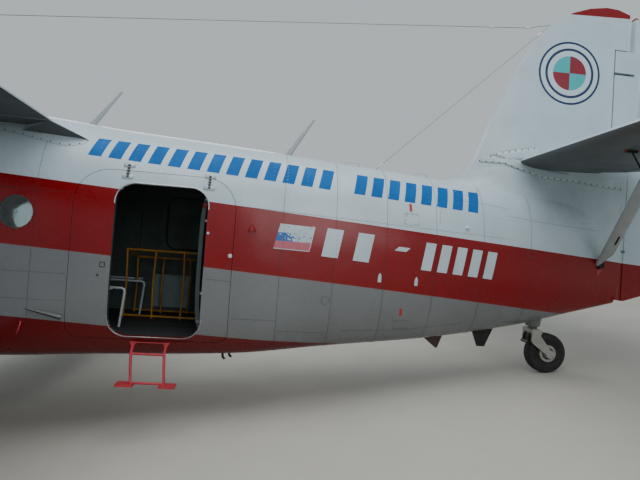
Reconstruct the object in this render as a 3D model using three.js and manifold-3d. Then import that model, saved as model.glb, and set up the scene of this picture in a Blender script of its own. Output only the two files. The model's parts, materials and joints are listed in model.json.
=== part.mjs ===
// Utility biplane: a single-engined transport with a radial engine, fixed gear and a tail wheel,
// standing parked on its three wheels.
// Millimetres. The airframe is laid out level: X runs aft from the propeller's nose, Y to starboard,
// Z up from the thrust line. It is then pitched nose up onto its wheels, so that the finished group
// has Z up from the ground and its origin under the middle of its length.
import * as THREE from 'three';
import { mergeVertices } from 'three/addons/utils/BufferGeometryUtils.js';
import Module from 'manifold-3d';

const wasm = await Module();
wasm.setup();

// Driving dimensions
const PARKED_PITCH = THREE.MathUtils.degToRad(7.7);
const SEAT_GAP = 0.3; // between pieces that rest on each other
const SWING_GAP = 8; // between a control surface and the wing around it
const SHAFT_SIDES = 20;
const SHAFT_FIT = 1.02; // bore radius over shaft radius, both as 20-sided prisms
const PIN_SIDES = 8;
const PIN_FIT = 1.09; // bore radius over pin radius, both as 8-sided prisms

const hull = {
  skin: 40, // wall of the hollow cockpit and cabin
  sides: 24,
  noseX: 1600,
  cockpitX: 2100,
  cabinX: 3300,
  tailX: 7400,
  sternX: 11720,
  cabinFloorZ: -950,
  cockpitFloorZ: -450,
  floorThickness: 50,
};
// Fuselage stations: x, half width, top z, bottom z, widest z, power above, power below
const HULL_STATIONS = [
  [1600, 714.7, 714.7, -714.7, 0, 2, 2],
  [1660, 714.7, 714.7, -714.7, 0, 2, 2],
  [1700, 745, 745, -750, 0, 2, 2],
  [2100, 800, 800, -960, -20, 2.2, 2.4],
  [2700, 870, 980, -1150, -40, 2.4, 3.0],
  [3300, 895, 1080, -1240, -40, 2.8, 4.4],
  [4200, 905, 1130, -1285, -40, 2.8, 5],
  [5200, 905, 1110, -1270, -40, 2.8, 5],
  [6140, 900, 1034, -1211, -40, 2.8, 5],
  [7400, 860, 965, -1150, -40, 2.7, 4.6],
  [8290, 770, 908, -1061, -30, 2.5, 3.4],
  [9360, 610, 845, -952, 0, 2.2, 2.6],
  [10475, 400, 780, -755, 60, 2.1, 2.3],
  [11200, 230, 765, -565, 150, 2, 2.1],
  [11720, 95, 750, -425, 220, 2, 2],
];
const canopy = { sillZ: 520, frame: 30, glass: 8, bar: 44 };
// Canopy stations: x, half width, top z, bottom z, widest z, power above, power below
const CANOPY_STATIONS = [
  [2130, 640, 700, 300, 480, 2.6, 2.6],
  [2330, 830, 1010, 300, 620, 2.6, 2.6],
  [2560, 930, 1270, 300, 700, 2.8, 2.8],
  [2780, 960, 1380, 300, 720, 3.0, 3.0],
  [3040, 950, 1400, 300, 720, 3.0, 3.0],
  [3300, 900, 1340, 300, 720, 3.0, 3.0],
];

const cargoDoor = { x0: 5945, x1: 7370, z0: -985, z1: 545, topRadius: 300, lowRadius: 110 };
const paxDoor = { x0: 6303, x1: 7115, z0: -949, z1: 429, radius: 165, gap: 6, openAngle: 105, hingeY: -785 };
const exitHatch = { x0: 6400, x1: 6910, z0: -180, z1: 470, radius: 120 };
const cabinWindow = { radius: 147, z: 95, xs: [5474, 4700, 3930] };

// Wings: leading edge x and z at the root, chord, half span, dihedral and incidence in degrees
const upper = {
  rootY: 650, tipY: 9088, leX: 3300, leZ: 1040, chord: 2400, thick: 0.13, dihedral: 2.8, incidence: 3,
};
const lower = {
  rootY: 450, tipY: 7118, leX: 3320, leZ: -1060, chord: 2000, thick: 0.13, dihedral: 3.6, incidence: 1,
};
const tailplane = {
  rootY: 60, tipY: 3600, leX: 10450, leZ: 1120, chord: 1780, thick: 0.1, dihedral: 0, incidence: -1,
  camber: 0,
};
// Control surfaces: wing, from y, to y, hinge as a share of the chord, positions of the two hinges
const SURFACES = {
  upper_flap: { y0: 890, y1: 4760, hinge: 0.79, brackets: [1400, 4200] },
  aileron: { y0: 4830, y1: 8700, hinge: 0.77, brackets: [5450, 8100] },
  lower_flap: { y0: 1080, y1: 6560, hinge: 0.78, brackets: [1700, 5900] },
  elevator: { y0: 170, y1: 3300, hinge: 0.65, brackets: [900, 2700] },
};
const rudder = {
  hingeX: 11750, topZ: 2930, bottomZ: -400, teX: 12735, noseX: 11540, noseTopZ: 2520, noseBottomZ: 1330,
  brackets: [180, 1500, 2250],
};
const bracket = { plate: 10, notch: 30, pinRadius: 9, pinLength: 90, reach: 18, clear: 42 };

const strut = { y: 5550, thickness: 76, waist: 230 };
const wire = { radius: 7, innerY: 960, spacing: 70 };

const engine = { cylinders: 9, x: 900, reach: 665, crankRadius: 300, shaftRadius: 40, noseX: 455 };
const cowl = { frontX: 430, rearX: 1650, outer: 760, lip: 575, fit: 715 };
const prop = { x: 300, radius: 1675, hubRadius: 150, blades: 4, hubEndX: 440 };

const mainWheel = { x: 2780, y: 1680, radius: 400, width: 260, rimRadius: 215, axle: 34 };
const tailWheel = { x: 10930, z: -1045, radius: 225, width: 150, rimRadius: 120, axle: 16 };
const tailFork = { pivotX: 10770, pivotZ: -800, armY: 100, stemRadius: 22 };
// The main axle's height puts both axles on one ground line at the parked pitch
mainWheel.z = tailWheel.z + (mainWheel.x - tailWheel.x) * Math.tan(PARKED_PITCH)
  + (mainWheel.radius - tailWheel.radius) / Math.cos(PARKED_PITCH);

// Finishes
const paint = (color, roughness = 0.4, metalness = 0) => (
  new THREE.MeshStandardMaterial({ color, roughness, metalness }));
const finish = {
  white: paint('#dde3ea'),
  red: paint('#a3152a'),
  grey: paint('#9b9da0'),
  silver: paint('#b9bcc0', 0.45, 0.6),
  steel: paint('#6d6f73', 0.5, 0.7),
  black: paint('#191a1b', 0.85),
  glass: paint('#a9c4cc', 0.08),
  interior: paint('#3f4b47', 0.7),
  yellow: paint('#b98a2e', 0.5),
  seat: paint('#4c4a45', 0.8),
};

// Geometry helpers
const rad = THREE.MathUtils.degToRad;
const vec = (x, y, z) => new THREE.Vector3(x, y, z);

function closedBody(points, faces) {
  const geometry = new THREE.BufferGeometry();
  geometry.setAttribute('position', new THREE.Float32BufferAttribute(points.flatMap((p) => p.toArray()), 3));
  let volume = 0;
  for (const [a, b, c] of faces) volume += points[a].dot(vec(0, 0, 0).crossVectors(points[b], points[c]));
  geometry.setIndex(volume < 0 ? faces.flatMap(([a, b, c]) => [a, c, b]) : faces.flat());
  return geometry;
}

// A closed skin through rings of equal point count, capped at both ends. The quads' diagonals mirror
// each other across the centre plane, so that port and starboard are alike.
function loft(rings) {
  const count = rings[0].length;
  const points = rings.flat();
  const faces = [];
  for (let r = 0; r + 1 < rings.length; r += 1) {
    for (let i = 0; i < count; i += 1) {
      const a = r * count + i;
      const b = r * count + (i + 1) % count;
      if (points[a].y + points[b].y < 0) faces.push([a, b, a + count], [b, b + count, a + count]);
      else faces.push([a, b, b + count], [a, b + count, a + count]);
    }
  }
  for (const [ring, start, turn] of [[rings[0], 0, -1], [rings.at(-1), (rings.length - 1) * count, 1]]) {
    const centre = ring.reduce((sum, p) => sum.add(p), vec(0, 0, 0)).divideScalar(count);
    points.push(centre);
    for (let i = 0; i < count; i += 1) {
      const edge = [start + i, start + (i + 1) % count];
      faces.push(turn > 0 ? [...edge, points.length - 1] : [edge[1], edge[0], points.length - 1]);
    }
  }
  return closedBody(points, faces);
}

function toSolid(geometry) {
  const bare = geometry.index ? geometry.clone() : geometry;
  bare.deleteAttribute('normal');
  bare.deleteAttribute('uv');
  const merged = mergeVertices(bare, 1e-3);
  return new wasm.Manifold(new wasm.Mesh({
    numProp: 3,
    vertProperties: Float32Array.from(merged.attributes.position.array),
    triVerts: Uint32Array.from(merged.index.array),
  }));
}

function toGeometry(solid) {
  const mesh = solid.getMesh();
  const geometry = new THREE.BufferGeometry();
  geometry.setAttribute('position', new THREE.BufferAttribute(Float32Array.from(mesh.vertProperties), 3));
  geometry.setIndex(new THREE.BufferAttribute(Uint32Array.from(mesh.triVerts), 1));
  return geometry;
}

const join = (first, ...others) => (
  toGeometry(others.reduce((sum, other) => sum.add(toSolid(other)), toSolid(first))));
const cut = (first, ...others) => (
  toGeometry(others.reduce((rest, other) => rest.subtract(toSolid(other)), toSolid(first))));
const meet = (first, other) => toGeometry(toSolid(first).intersect(toSolid(other)));
const moved = (geometry, x, y, z) => geometry.clone().translate(x, y, z);

function mirrored(geometry) {
  const flipped = geometry.clone().scale(1, -1, 1);
  const index = Array.from(flipped.index.array);
  for (let i = 0; i < index.length; i += 3) [index[i + 1], index[i + 2]] = [index[i + 2], index[i + 1]];
  flipped.setIndex(index);
  return flipped;
}

// A box given by its low and high corners
function block(x0, x1, y0, y1, z0, z1) {
  return new THREE.BoxGeometry(x1 - x0, y1 - y0, z1 - z0)
    .translate((x0 + x1) / 2, (y0 + y1) / 2, (z0 + z1) / 2);
}

function rod(from, to, radius, sides = 8, endRadius = radius) {
  const along = to.clone().sub(from);
  const turn = new THREE.Quaternion().setFromUnitVectors(vec(0, 1, 0), along.clone().normalize());
  return new THREE.CylinderGeometry(endRadius, radius, along.length(), sides)
    .applyQuaternion(turn)
    .translate(...from.clone().add(to).multiplyScalar(0.5).toArray());
}

// A solid of revolution about the X axis from [x, radius] points
function turned(profile, sides = hull.sides) {
  return new THREE.LatheGeometry(profile.map(([x, r]) => new THREE.Vector2(r, x)), sides)
    .rotateZ(-Math.PI / 2);
}

// A bar of flattened section: chord along X, thickness across it
function fairedBar(from, to, chord, thickness) {
  const along = to.clone().sub(from);
  const turn = new THREE.Quaternion().setFromUnitVectors(vec(0, 1, 0), along.clone().normalize());
  return new THREE.CylinderGeometry(chord / 2, chord / 2, along.length(), 12)
    .scale(1, 1, thickness / chord)
    .applyQuaternion(turn)
    .translate(...from.clone().add(to).multiplyScalar(0.5).toArray());
}

// A rounded rectangle in the XZ plane, pushed along Y from y0 to y1
function doorway(door, inset, y0, y1, radii) {
  const [low, high] = radii.map((r) => r - inset);
  const [x0, x1, z0, z1] = [door.x0 + inset, door.x1 - inset, door.z0 + inset, door.z1 - inset];
  const shape = new THREE.Shape()
    .moveTo(x0 + low, z0).lineTo(x1 - low, z0).absarc(x1 - low, z0 + low, low, -Math.PI / 2, 0)
    .absarc(x1 - high, z1 - high, high, 0, Math.PI / 2)
    .absarc(x0 + high, z1 - high, high, Math.PI / 2, Math.PI)
    .absarc(x0 + low, z0 + low, low, Math.PI, 1.5 * Math.PI);
  return new THREE.ExtrudeGeometry(shape, { depth: y1 - y0, bevelEnabled: false, curveSegments: 4 })
    .rotateX(Math.PI / 2)
    .translate(0, y1, 0);
}

// Fuselage and canopy sections
function stationAt(table, x) {
  const after = Math.max(1, table.findIndex((row) => row[0] >= x));
  const [a, b] = [table[after - 1], table[after]];
  const share = (x - a[0]) / (b[0] - a[0]);
  return a.map((value, i) => value + (b[i] - value) * share);
}

function ovalRing(row, inset, sides = hull.sides) {
  const [x, w, top, bottom, wide, above, below] = row;
  return Array.from({ length: sides }, (_, i) => {
    const angle = (i / sides) * 2 * Math.PI;
    const [c, s] = [Math.cos(angle), Math.sin(angle)];
    const power = 2 / (s > 0 ? above : below);
    const height = s > 0 ? top - wide - inset : wide - bottom - inset;
    return vec(
      x,
      (w - inset) * Math.sign(c) * Math.abs(c) ** power,
      wide + height * Math.sign(s) * Math.abs(s) ** power,
    );
  });
}

function ovalLoft(table, x0, x1, inset, sides = hull.sides) {
  const xs = [x0, ...table.map((row) => row[0]).filter((x) => x > x0 + 1 && x < x1 - 1), x1];
  return loft(xs.map((x) => ovalRing(stationAt(table, x), inset, sides)));
}

// Wing sections: points go round from the trailing edge over the top and back below
const AIRFOIL_STEPS = 7;

function airfoil(wing, y, chord, leX, thick) {
  const camber = wing.camber ?? 0.03;
  const halfAt = (s) => 5 * thick * (0.2969 * Math.sqrt(s) - 0.126 * s - 0.3516 * s ** 2
    + 0.2843 * s ** 3 - 0.1015 * s ** 4) + 0.0015 * s;
  const slope = Math.tan(rad(wing.incidence));
  const point = (s, side) => {
    const x = leX + s * chord;
    return vec(
      x,
      y,
      wing.leZ - slope * (x - wing.leX) + chord * (4 * camber * s * (1 - s) + side * halfAt(s)),
    );
  };
  const shares = Array.from({ length: AIRFOIL_STEPS + 1 }, (_, i) => (
    (1 - Math.cos((i / AIRFOIL_STEPS) * Math.PI)) / 2));
  const over = shares.toReversed().map((s) => point(s, 1));
  const under = shares.slice(1).map((s) => point(s, -1));
  return [...over, ...under];
}

// Rounded tip: y inboard of the tip, chord share, thickness share
const TIP = [[420, 1, 1], [140, 0.88, 0.85], [0, 0.6, 0.3]];

function wingPanel(wing) {
  const rings = [airfoil(wing, wing.rootY, wing.chord, wing.leX, wing.thick)];
  for (const [inboard, chordShare, thickShare] of TIP) {
    const chord = wing.chord * chordShare;
    const leX = wing.leX + (wing.chord - chord) * 0.4;
    rings.push(airfoil(wing, wing.tipY - inboard, chord, leX, wing.thick * thickShare));
  }
  return loft(rings);
}

// Raises a panel outboard of its root by its dihedral
function withDihedral(wing, geometry) {
  const rise = Math.tan(rad(wing.dihedral));
  const shear = new THREE.Matrix4().set(1, 0, 0, 0, 0, 1, 0, 0, 0, rise, 1, -rise * wing.rootY, 0, 0, 0, 1);
  return geometry.clone().applyMatrix4(shear);
}

function hingeLine(wing, surface) {
  const x = wing.leX + wing.chord * surface.hinge;
  const under = airfoil(wing, 0, wing.chord, wing.leX, wing.thick);
  const heightAt = (points) => {
    const i = points.findIndex((p, k) => k > 0 && (p.x - x) * (points[k - 1].x - x) <= 0);
    const [a, b] = [points[i - 1], points[i]];
    return a.z + (b.z - a.z) * ((x - a.x) / (b.x - a.x));
  };
  const top = heightAt(under.slice(0, AIRFOIL_STEPS + 1));
  const bottom = heightAt(under.slice(AIRFOIL_STEPS));
  return { x, z: (top + bottom) / 2, radius: (top - bottom) / 2 };
}

// Cuts a control surface out of a panel: returns what stays fixed and what moves, both before dihedral
function hinged(wing, panel, surface) {
  const { x, z, radius } = hingeLine(wing, surface);
  const { y0, y1 } = surface;
  const axis = (a, b, r, sides) => rod(vec(x, a, z), vec(x, b, z), r, sides);
  const aft = block(x, x + 2000, y0, y1, z - 600, z + 600);
  const brackets = surface.brackets.map((y) => join(
    block(x - radius - 60, x + bracket.reach, y - bracket.plate / 2, y + bracket.plate / 2,
      z - bracket.reach, z + bracket.reach),
    axis(y - bracket.pinLength / 2, y + bracket.pinLength / 2, bracket.pinRadius, PIN_SIDES),
  ));
  const fixed = join(cut(panel, aft, axis(y0, y1, radius + SWING_GAP + 3, 12)), ...brackets);
  const tail = meet(panel, block(x, x + 2000, y0 + SWING_GAP, y1 - SWING_GAP, z - 600, z + 600));
  const moving = surface.brackets.reduce((rest, y) => cut(
    rest,
    block(x - radius - 20, x + bracket.clear, y - bracket.notch / 2, y + bracket.notch / 2, z - 300, z + 300),
    axis(y - bracket.pinLength / 2 - 3, y + bracket.pinLength / 2 + 3,
      bracket.pinRadius * PIN_FIT, PIN_SIDES),
  ), join(tail, axis(y0 + SWING_GAP, y1 - SWING_GAP, radius, 12)));
  return { fixed, moving };
}

// The finished object
const airframe = new THREE.Group();
const SIDES = [['right', (g) => g, 1], ['left', mirrored, -1]];

function piece(name, geometry, material, parent = airframe) {
  const mesh = new THREE.Mesh(geometry, material);
  mesh.name = name;
  parent.add(mesh);
  return mesh;
}

// A group that turns about its own origin; pieces in it are given in airframe coordinates
function pivot(name, at, parent = airframe) {
  const group = new THREE.Group();
  group.name = name;
  group.position.copy(at);
  parent.add(group);
  group.hold = (child, geometry, material) => piece(child, geometry.clone().translate(-at.x, -at.y, -at.z),
    material, group);
  return group;
}

// Fuselage: solid nose, hollow cockpit and cabin, solid tail
const cockpitCavity = meet(
  ovalLoft(HULL_STATIONS, hull.cockpitX + hull.skin, hull.cabinX + 20, hull.skin),
  block(0, 9000, -2000, 2000, hull.cockpitFloorZ, 3000),
);
const cabinCavity = meet(
  ovalLoft(HULL_STATIONS, hull.cabinX - 20, hull.tailX - hull.skin, hull.skin),
  block(0, 9000, -2000, 2000, hull.cabinFloorZ - hull.floorThickness, 3000),
);
piece('nose_section', ovalLoft(HULL_STATIONS, hull.noseX, hull.cockpitX, 0), finish.white);
piece('cockpit_shell', cut(
  ovalLoft(HULL_STATIONS, hull.cockpitX + SEAT_GAP, hull.cabinX, 0),
  block(0, 9000, -2000, 2000, canopy.sillZ, 3000),
  cockpitCavity,
), finish.white);

const centreSection = loft([-1, 1].map((side) => (
  airfoil(upper, side * upper.rootY, upper.chord, upper.leX, upper.thick))));
const windowHoles = cabinWindow.xs.map((x) => (
  rod(vec(x, -1200, cabinWindow.z), vec(x, 1200, cabinWindow.z), cabinWindow.radius, 14)));
const cargoRadii = [cargoDoor.lowRadius, cargoDoor.topRadius];
const paxRadii = [paxDoor.radius, paxDoor.radius];
const exitRadii = [exitHatch.radius, exitHatch.radius];
const cabinTube = cut(
  join(
    ovalLoft(HULL_STATIONS, hull.cabinX + SEAT_GAP, hull.tailX, 0),
    meet(centreSection, block(hull.cabinX + SEAT_GAP, 9000, -2000, 2000, 500, 3000)),
  ),
  cabinCavity,
);
piece('cabin_shell', cut(
  cabinTube,
  ...windowHoles,
  doorway(cargoDoor, 0, -1500, -300, cargoRadii),
  doorway(exitHatch, 0, 300, 1500, exitRadii),
), finish.white);

// Aerials: a mast on the cabin roof, and a mast and two blades on the tail cone
// Masts: foot x and z, top x and z
const [cabinMast, tailMast] = [[5697, 1030, 5999, 1482], [7800, 900, 8076, 1381]].map(([x0, z0, x1, z1]) => (
  fairedBar(vec(x0, 0, z0), vec(x1, 0, z1), 55, 22)));
const BLADE_THICKNESS = 14;
// Blades: front and rear x at the skin, tip x, skin z, tip z
const bladeAerials = [
  [9510, 9682, 9644, -930, -1053],
  [10064, 10287, 10194, -800, -1012],
].map(([front, rear, tip, skinZ, tipZ]) => {
  const shape = new THREE.Shape()
    .moveTo(front, skinZ + 90).lineTo(front, skinZ - 10).lineTo(tip - 14, tipZ).lineTo(tip + 14, tipZ)
    .lineTo(rear, skinZ + 10).lineTo(rear, skinZ + 90);
  return new THREE.ExtrudeGeometry(shape, { depth: BLADE_THICKNESS, bevelEnabled: false })
    .rotateX(Math.PI / 2)
    .translate(0, BLADE_THICKNESS / 2, 0);
});
const tailCone = ovalLoft(HULL_STATIONS, hull.tailX + SEAT_GAP, hull.sternX, 0);
piece('tail_cone', join(tailCone, tailMast, ...bladeAerials), finish.white);
piece('cabin_aerial', cut(
  cabinMast,
  ovalLoft(HULL_STATIONS, hull.cabinX, hull.tailX, -SEAT_GAP),
), finish.grey);

// Cargo door in the port wall, with the passenger doorway through it and two hinge brackets for that door
const paxHinge = vec(paxDoor.x1 + 5, paxDoor.hingeY, 0);
const PAX_HINGE_HEIGHTS = [120, -560];
const paxPin = { radius: 9, half: 40 };
// An arm off the wall at x0 to x1, reaching over to the hinge pin
const HINGE_WALL_Y = -870;
const KNUCKLE = 15; // half width of the hinge knuckle
const hingeArm = (x0, x1, z0, z1) => join(
  block(x0, x1, HINGE_WALL_Y, paxHinge.y + KNUCKLE, z0, z1),
  block(
    Math.min(x0, paxHinge.x - KNUCKLE),
    Math.max(x1, paxHinge.x + KNUCKLE),
    paxHinge.y - KNUCKLE,
    paxHinge.y + KNUCKLE,
    z0,
    z1,
  ),
);
const paxPinAt = (z0, z1, fit) => rod(
  vec(paxHinge.x, paxHinge.y, z0), vec(paxHinge.x, paxHinge.y, z1), paxPin.radius * fit, PIN_SIDES);
piece('cargo_door', join(
  cut(
    meet(cabinTube, doorway(cargoDoor, SEAT_GAP, -1500, -300, cargoRadii)),
    doorway(paxDoor, 0, -1500, -300, paxRadii),
  ),
  ...PAX_HINGE_HEIGHTS.flatMap((z) => [
    hingeArm(paxHinge.x + 20, paxHinge.x + 50, z - 8, z + 8),
    paxPinAt(z - paxPin.half, z + paxPin.half, 1),
  ]),
), finish.white);
const paxSwing = pivot('passenger_door_hinge', paxHinge);
paxSwing.rotation.z = -rad(paxDoor.openAngle);
paxSwing.hold('passenger_door', cut(
  join(
    meet(cabinTube, doorway(paxDoor, paxDoor.gap, -1500, -300, paxRadii)),
    ...PAX_HINGE_HEIGHTS.map((z) => hingeArm(paxHinge.x - 60, paxHinge.x - 22, z + 14, z + 38)),
  ),
  ...PAX_HINGE_HEIGHTS.map((z) => paxPinAt(z, z + paxPin.half + 10, PIN_FIT)),
), finish.interior);
piece('exit_hatch', meet(cabinTube, doorway(exitHatch, SEAT_GAP, 300, 1500, exitRadii)), finish.white);

// Canopy: glass shell inside a frame of bars
const canopyShell = (outer, inner) => cut(
  meet(ovalLoft(CANOPY_STATIONS, 2130 + outer, 3300 - outer, outer, 16),
    block(0, 9000, -2000, 2000, canopy.sillZ + SEAT_GAP + outer, 3000)),
  ovalLoft(CANOPY_STATIONS, 2130 + inner, 3300 - inner, inner, 16),
);
const half = canopy.bar / 2;
const barSlabs = [
  ...[2330, 2620, 2960].map((x) => block(x - half, x + half, -2000, 2000, 0, 3000)),
  block(3200, 3400, -2000, 2000, 0, 3000),
  block(0, 9000, -half, half, 0, 3000),
  block(0, 9000, -2000, 2000, 0, canopy.sillZ + 70),
];
const cockpitDoorway = block(3000, 3600, -250, 250, 0, 900);
const canopyFlange = cut(
  block(2140, 3300, -880, 880, canopy.sillZ + SEAT_GAP, canopy.sillZ + 24),
  block(2230, 3400, -700, 700, 0, 3000),
);
piece('canopy_frame', cut(
  join(meet(canopyShell(0, canopy.frame), join(...barSlabs)),
    meet(canopyFlange, ovalLoft(CANOPY_STATIONS, 2130, 3300, 10, 16))),
  cockpitDoorway,
), finish.white);
piece('canopy_glass', cut(
  canopyShell(canopy.frame + SEAT_GAP, canopy.frame + canopy.glass),
  cockpitDoorway,
), finish.glass);

// Cabin and cockpit fittings
const floorTop = hull.cabinFloorZ;
piece('cabin_floor', meet(
  ovalLoft(HULL_STATIONS, hull.cabinX + SEAT_GAP, hull.tailX - hull.skin - SEAT_GAP, hull.skin + SEAT_GAP),
  block(0, 9000, -2000, 2000, floorTop - hull.floorThickness + SEAT_GAP, floorTop),
), finish.interior);
piece('front_bulkhead', cut(
  meet(
    ovalLoft(HULL_STATIONS, 3330, 3365, hull.skin + SEAT_GAP),
    block(0, 9000, -2000, 2000, floorTop + SEAT_GAP, 3000),
  ),
  block(3000, 4000, -300, 300, floorTop - 100, 800),
), finish.interior);

function bench(x0, x1) {
  const [seatZ, seatY, backY] = [-520, 430, 800];
  const legs = [x0 + 60, (x0 + x1) / 2, x1 - 60].map((x) => (
    block(x - 15, x + 15, seatY + 10, seatY + 40, floorTop + SEAT_GAP, seatZ + 5)));
  return join(
    block(x0, x1, seatY, backY, seatZ, seatZ + 60),
    block(x0, x1, backY - 60, backY - 20, seatZ, seatZ + 420),
    ...legs,
  );
}
piece('bench_right', bench(3700, 5950), finish.seat);
piece('bench_left', mirrored(bench(3700, 5750)), finish.seat);

const pilotSeat = join(
  block(2700, 3120, 200, 640, -80, 40),
  block(3040, 3160, 200, 640, 0, 640),
  block(2780, 3060, 290, 550, hull.cockpitFloorZ + SEAT_GAP, -60),
);
for (const [side, flip] of SIDES) piece(`pilot_seat_${side}`, flip(pilotSeat), finish.seat);

const yoke = join(
  rod(vec(2420, 400, 60), vec(2620, 400, 230), 18),
  block(2605, 2630, 250, 550, 215, 245),
  block(2605, 2630, 250, 280, 215, 340),
  block(2605, 2630, 520, 550, 215, 340),
);
piece('instrument_panel', join(
  meet(block(2300, 2440, -1000, 1000, -60, 500), ovalLoft(HULL_STATIONS, 2170, 3200, hull.skin + SEAT_GAP)),
  block(2310, 2430, -120, 120, hull.cockpitFloorZ + SEAT_GAP, 0),
  yoke,
  mirrored(yoke),
), finish.interior);

// Guard rail inside the doorway: two frames of tube joined by cross bars
const rail = { xs: [6130, 6440, 6750, 7060], lowZ: -925, tube: 14 };
const railFrames = [{ y: 200, topZ: -195 }, { y: 640, topZ: -290 }];
const railTube = (from, to) => rod(from, to, rail.tube, 5);
const [railStart, railEnd] = [rail.xs[0], rail.xs.at(-1)];
const railTubes = railFrames.flatMap(({ y, topZ }) => [
  ...[topZ, rail.lowZ].map((z) => railTube(vec(railStart - 12, y, z), vec(railEnd + 12, y, z))),
  ...rail.xs.map((x) => railTube(vec(x, y, floorTop + SEAT_GAP), vec(x, y, topZ))),
]);
const railCrossBars = [railStart, railEnd].map((x) => railTube(
  ...railFrames.map(({ y, topZ }) => vec(x, y, topZ))));
piece('guard_rail', join(...railTubes, ...railCrossBars), finish.yellow);

// Boarding ladder hung on the skin below the sill
const ladder = { xs: [6470, 6760], topY: -640, topZ: -1060, footY: -950, footZ: -1335, tube: 13 };
const ladderRails = ladder.xs.flatMap((x, i) => [
  rod(vec(x, ladder.topY, ladder.topZ), vec(x + 55, ladder.footY, ladder.footZ), ladder.tube, 6),
  block(x + (i ? 20 : -40), x + (i ? 130 : 90), ladder.footY - 60, ladder.footY + 60,
    ladder.footZ - 10, ladder.footZ + 10),
]);
const ladderRungs = [0.35, 0.97].map((share) => {
  const at = (x) => vec(x + 55 * share, ladder.topY + (ladder.footY - ladder.topY) * share,
    ladder.topZ + (ladder.footZ - ladder.topZ) * share);
  return rod(at(ladder.xs[0]), at(ladder.xs[1]), 11, 6);
});
piece('boarding_ladder', cut(
  join(...ladderRails, ...ladderRungs),
  ovalLoft(HULL_STATIONS, hull.cabinX, hull.tailX, -SEAT_GAP),
), finish.red);

// Engine, cowling and propeller
// One cylinder's profile out from the shaft: a barrel and a wider head, each with cooling fins
const cylinder = { sides: 10, barrel: 76, fin: 14 };
// Fins: distance from the shaft, bare radius, fin radius
const FINS = [
  [365, 76, 100], [410, 76, 100], [455, 76, 100], [500, 76, 100],
  [550, 88, 114], [595, 88, 112], [640, 88, 104],
];
const cylinderProfile = [
  [engine.crankRadius - 60, 0],
  [engine.crankRadius - 60, cylinder.barrel],
  ...FINS.flatMap(([from, bare, reach]) => [
    [from, bare], [from, reach], [from + cylinder.fin, reach], [from + cylinder.fin, bare],
  ]),
  [engine.reach, cylinder.barrel],
  [engine.reach, 0],
];
const cylinders = Array.from({ length: engine.cylinders }, (_, i) => (
  turned(cylinderProfile, cylinder.sides)
    .rotateY(-Math.PI / 2)
    .rotateX((i / engine.cylinders) * 2 * Math.PI)
    .translate(engine.x, 0, 0)));
const crankcase = turned([
  [420, 0], [420, engine.shaftRadius], [engine.noseX, engine.shaftRadius], [engine.noseX, 110],
  [620, 190], [760, engine.crankRadius], [1060, engine.crankRadius], [1200, 430],
  [hull.noseX - SEAT_GAP, 430], [hull.noseX - SEAT_GAP, 0],
], SHAFT_SIDES);
piece('engine', join(crankcase, ...cylinders), finish.steel);

const cowlRing = turned([
  [cowl.frontX + 60, cowl.lip], [cowl.frontX, cowl.lip + 30], [cowl.frontX + 20, cowl.lip + 80],
  [cowl.frontX + 130, cowl.outer - 50], [cowl.frontX + 300, cowl.outer], [cowl.rearX - 350, cowl.outer],
  [cowl.rearX, cowl.outer - 15], [cowl.rearX, cowl.fit], [cowl.frontX + 300, cowl.fit],
  [cowl.frontX + 140, cowl.lip + 60], [cowl.frontX + 60, cowl.lip],
]);
const intake = loft([
  [700, 130, 905, 640], [1300, 150, 925, 640], [1640, 110, 860, 640],
].map(([x, w, top, bottom]) => ovalRing([x, w, top, bottom, 740, 2.6, 4], 0, 12)));
const oilCooler = loft([
  [760, 190, -640, -1010], [1200, 210, -640, -1050], [1640, 150, -640, -900],
].map(([x, w, top, bottom]) => ovalRing([x, w, top, bottom, -820, 4, 2.8], 0, 12)));
const exhaust = rod(vec(1120, 690, -330), vec(1420, 860, -560), 78, 12);
const cowlBore = turned([[0, 0], [0, cowl.lip], [cowl.frontX + 90, cowl.lip], [cowl.frontX + 200, cowl.fit],
  [cowl.rearX + 100, cowl.fit], [cowl.rearX + 100, 0]]);
piece('cowling', join(cowlRing, cut(join(intake, oilCooler, exhaust), cowlBore)), finish.white);

const spin = pivot('propeller_hinge', vec(prop.x, 0, 0));
const hubBody = turned([
  [0, 0], [14, 55], [70, 98], [200, 112], [210, prop.hubRadius], [390, prop.hubRadius],
  [prop.hubEndX, 120], [prop.hubEndX, 0],
], SHAFT_SIDES);
spin.hold('propeller_hub', cut(
  hubBody,
  rod(vec(412, 0, 0), vec(500, 0, 0), engine.shaftRadius * SHAFT_FIT, SHAFT_SIDES),
), finish.silver);
// Blade stations: radius, chord, thickness, pitch in degrees
const BLADE = [
  [148, 120, 118, 60], [330, 170, 90, 48], [620, 300, 58, 36], [1050, 340, 36, 26], [1500, 310, 22, 20],
  [1640, 210, 14, 18], [prop.radius, 110, 8, 18],
];
const bladeGeometry = loft(BLADE.map(([r, chord, thickness, pitch]) => Array.from({ length: 10 }, (_, i) => {
    const angle = (i / 10) * 2 * Math.PI;
    return vec(Math.sin(angle) * thickness / 2, Math.cos(angle) * chord / 2, 0)
      .applyAxisAngle(vec(0, 0, 1), rad(90 - pitch))
      .add(vec(prop.x, 0, r));
})));
const hubSeat = turned(
  [[200, 0], [200, prop.hubRadius + SEAT_GAP], [400, prop.hubRadius + SEAT_GAP], [400, 0]], SHAFT_SIDES);
for (let i = 0; i < prop.blades; i += 1) {
  const blade = bladeGeometry.clone().rotateX(((i + 0.5) / prop.blades) * 2 * Math.PI);
  spin.hold(`propeller_blade_${i + 1}`, cut(blade, hubSeat), finish.steel);
}

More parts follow.
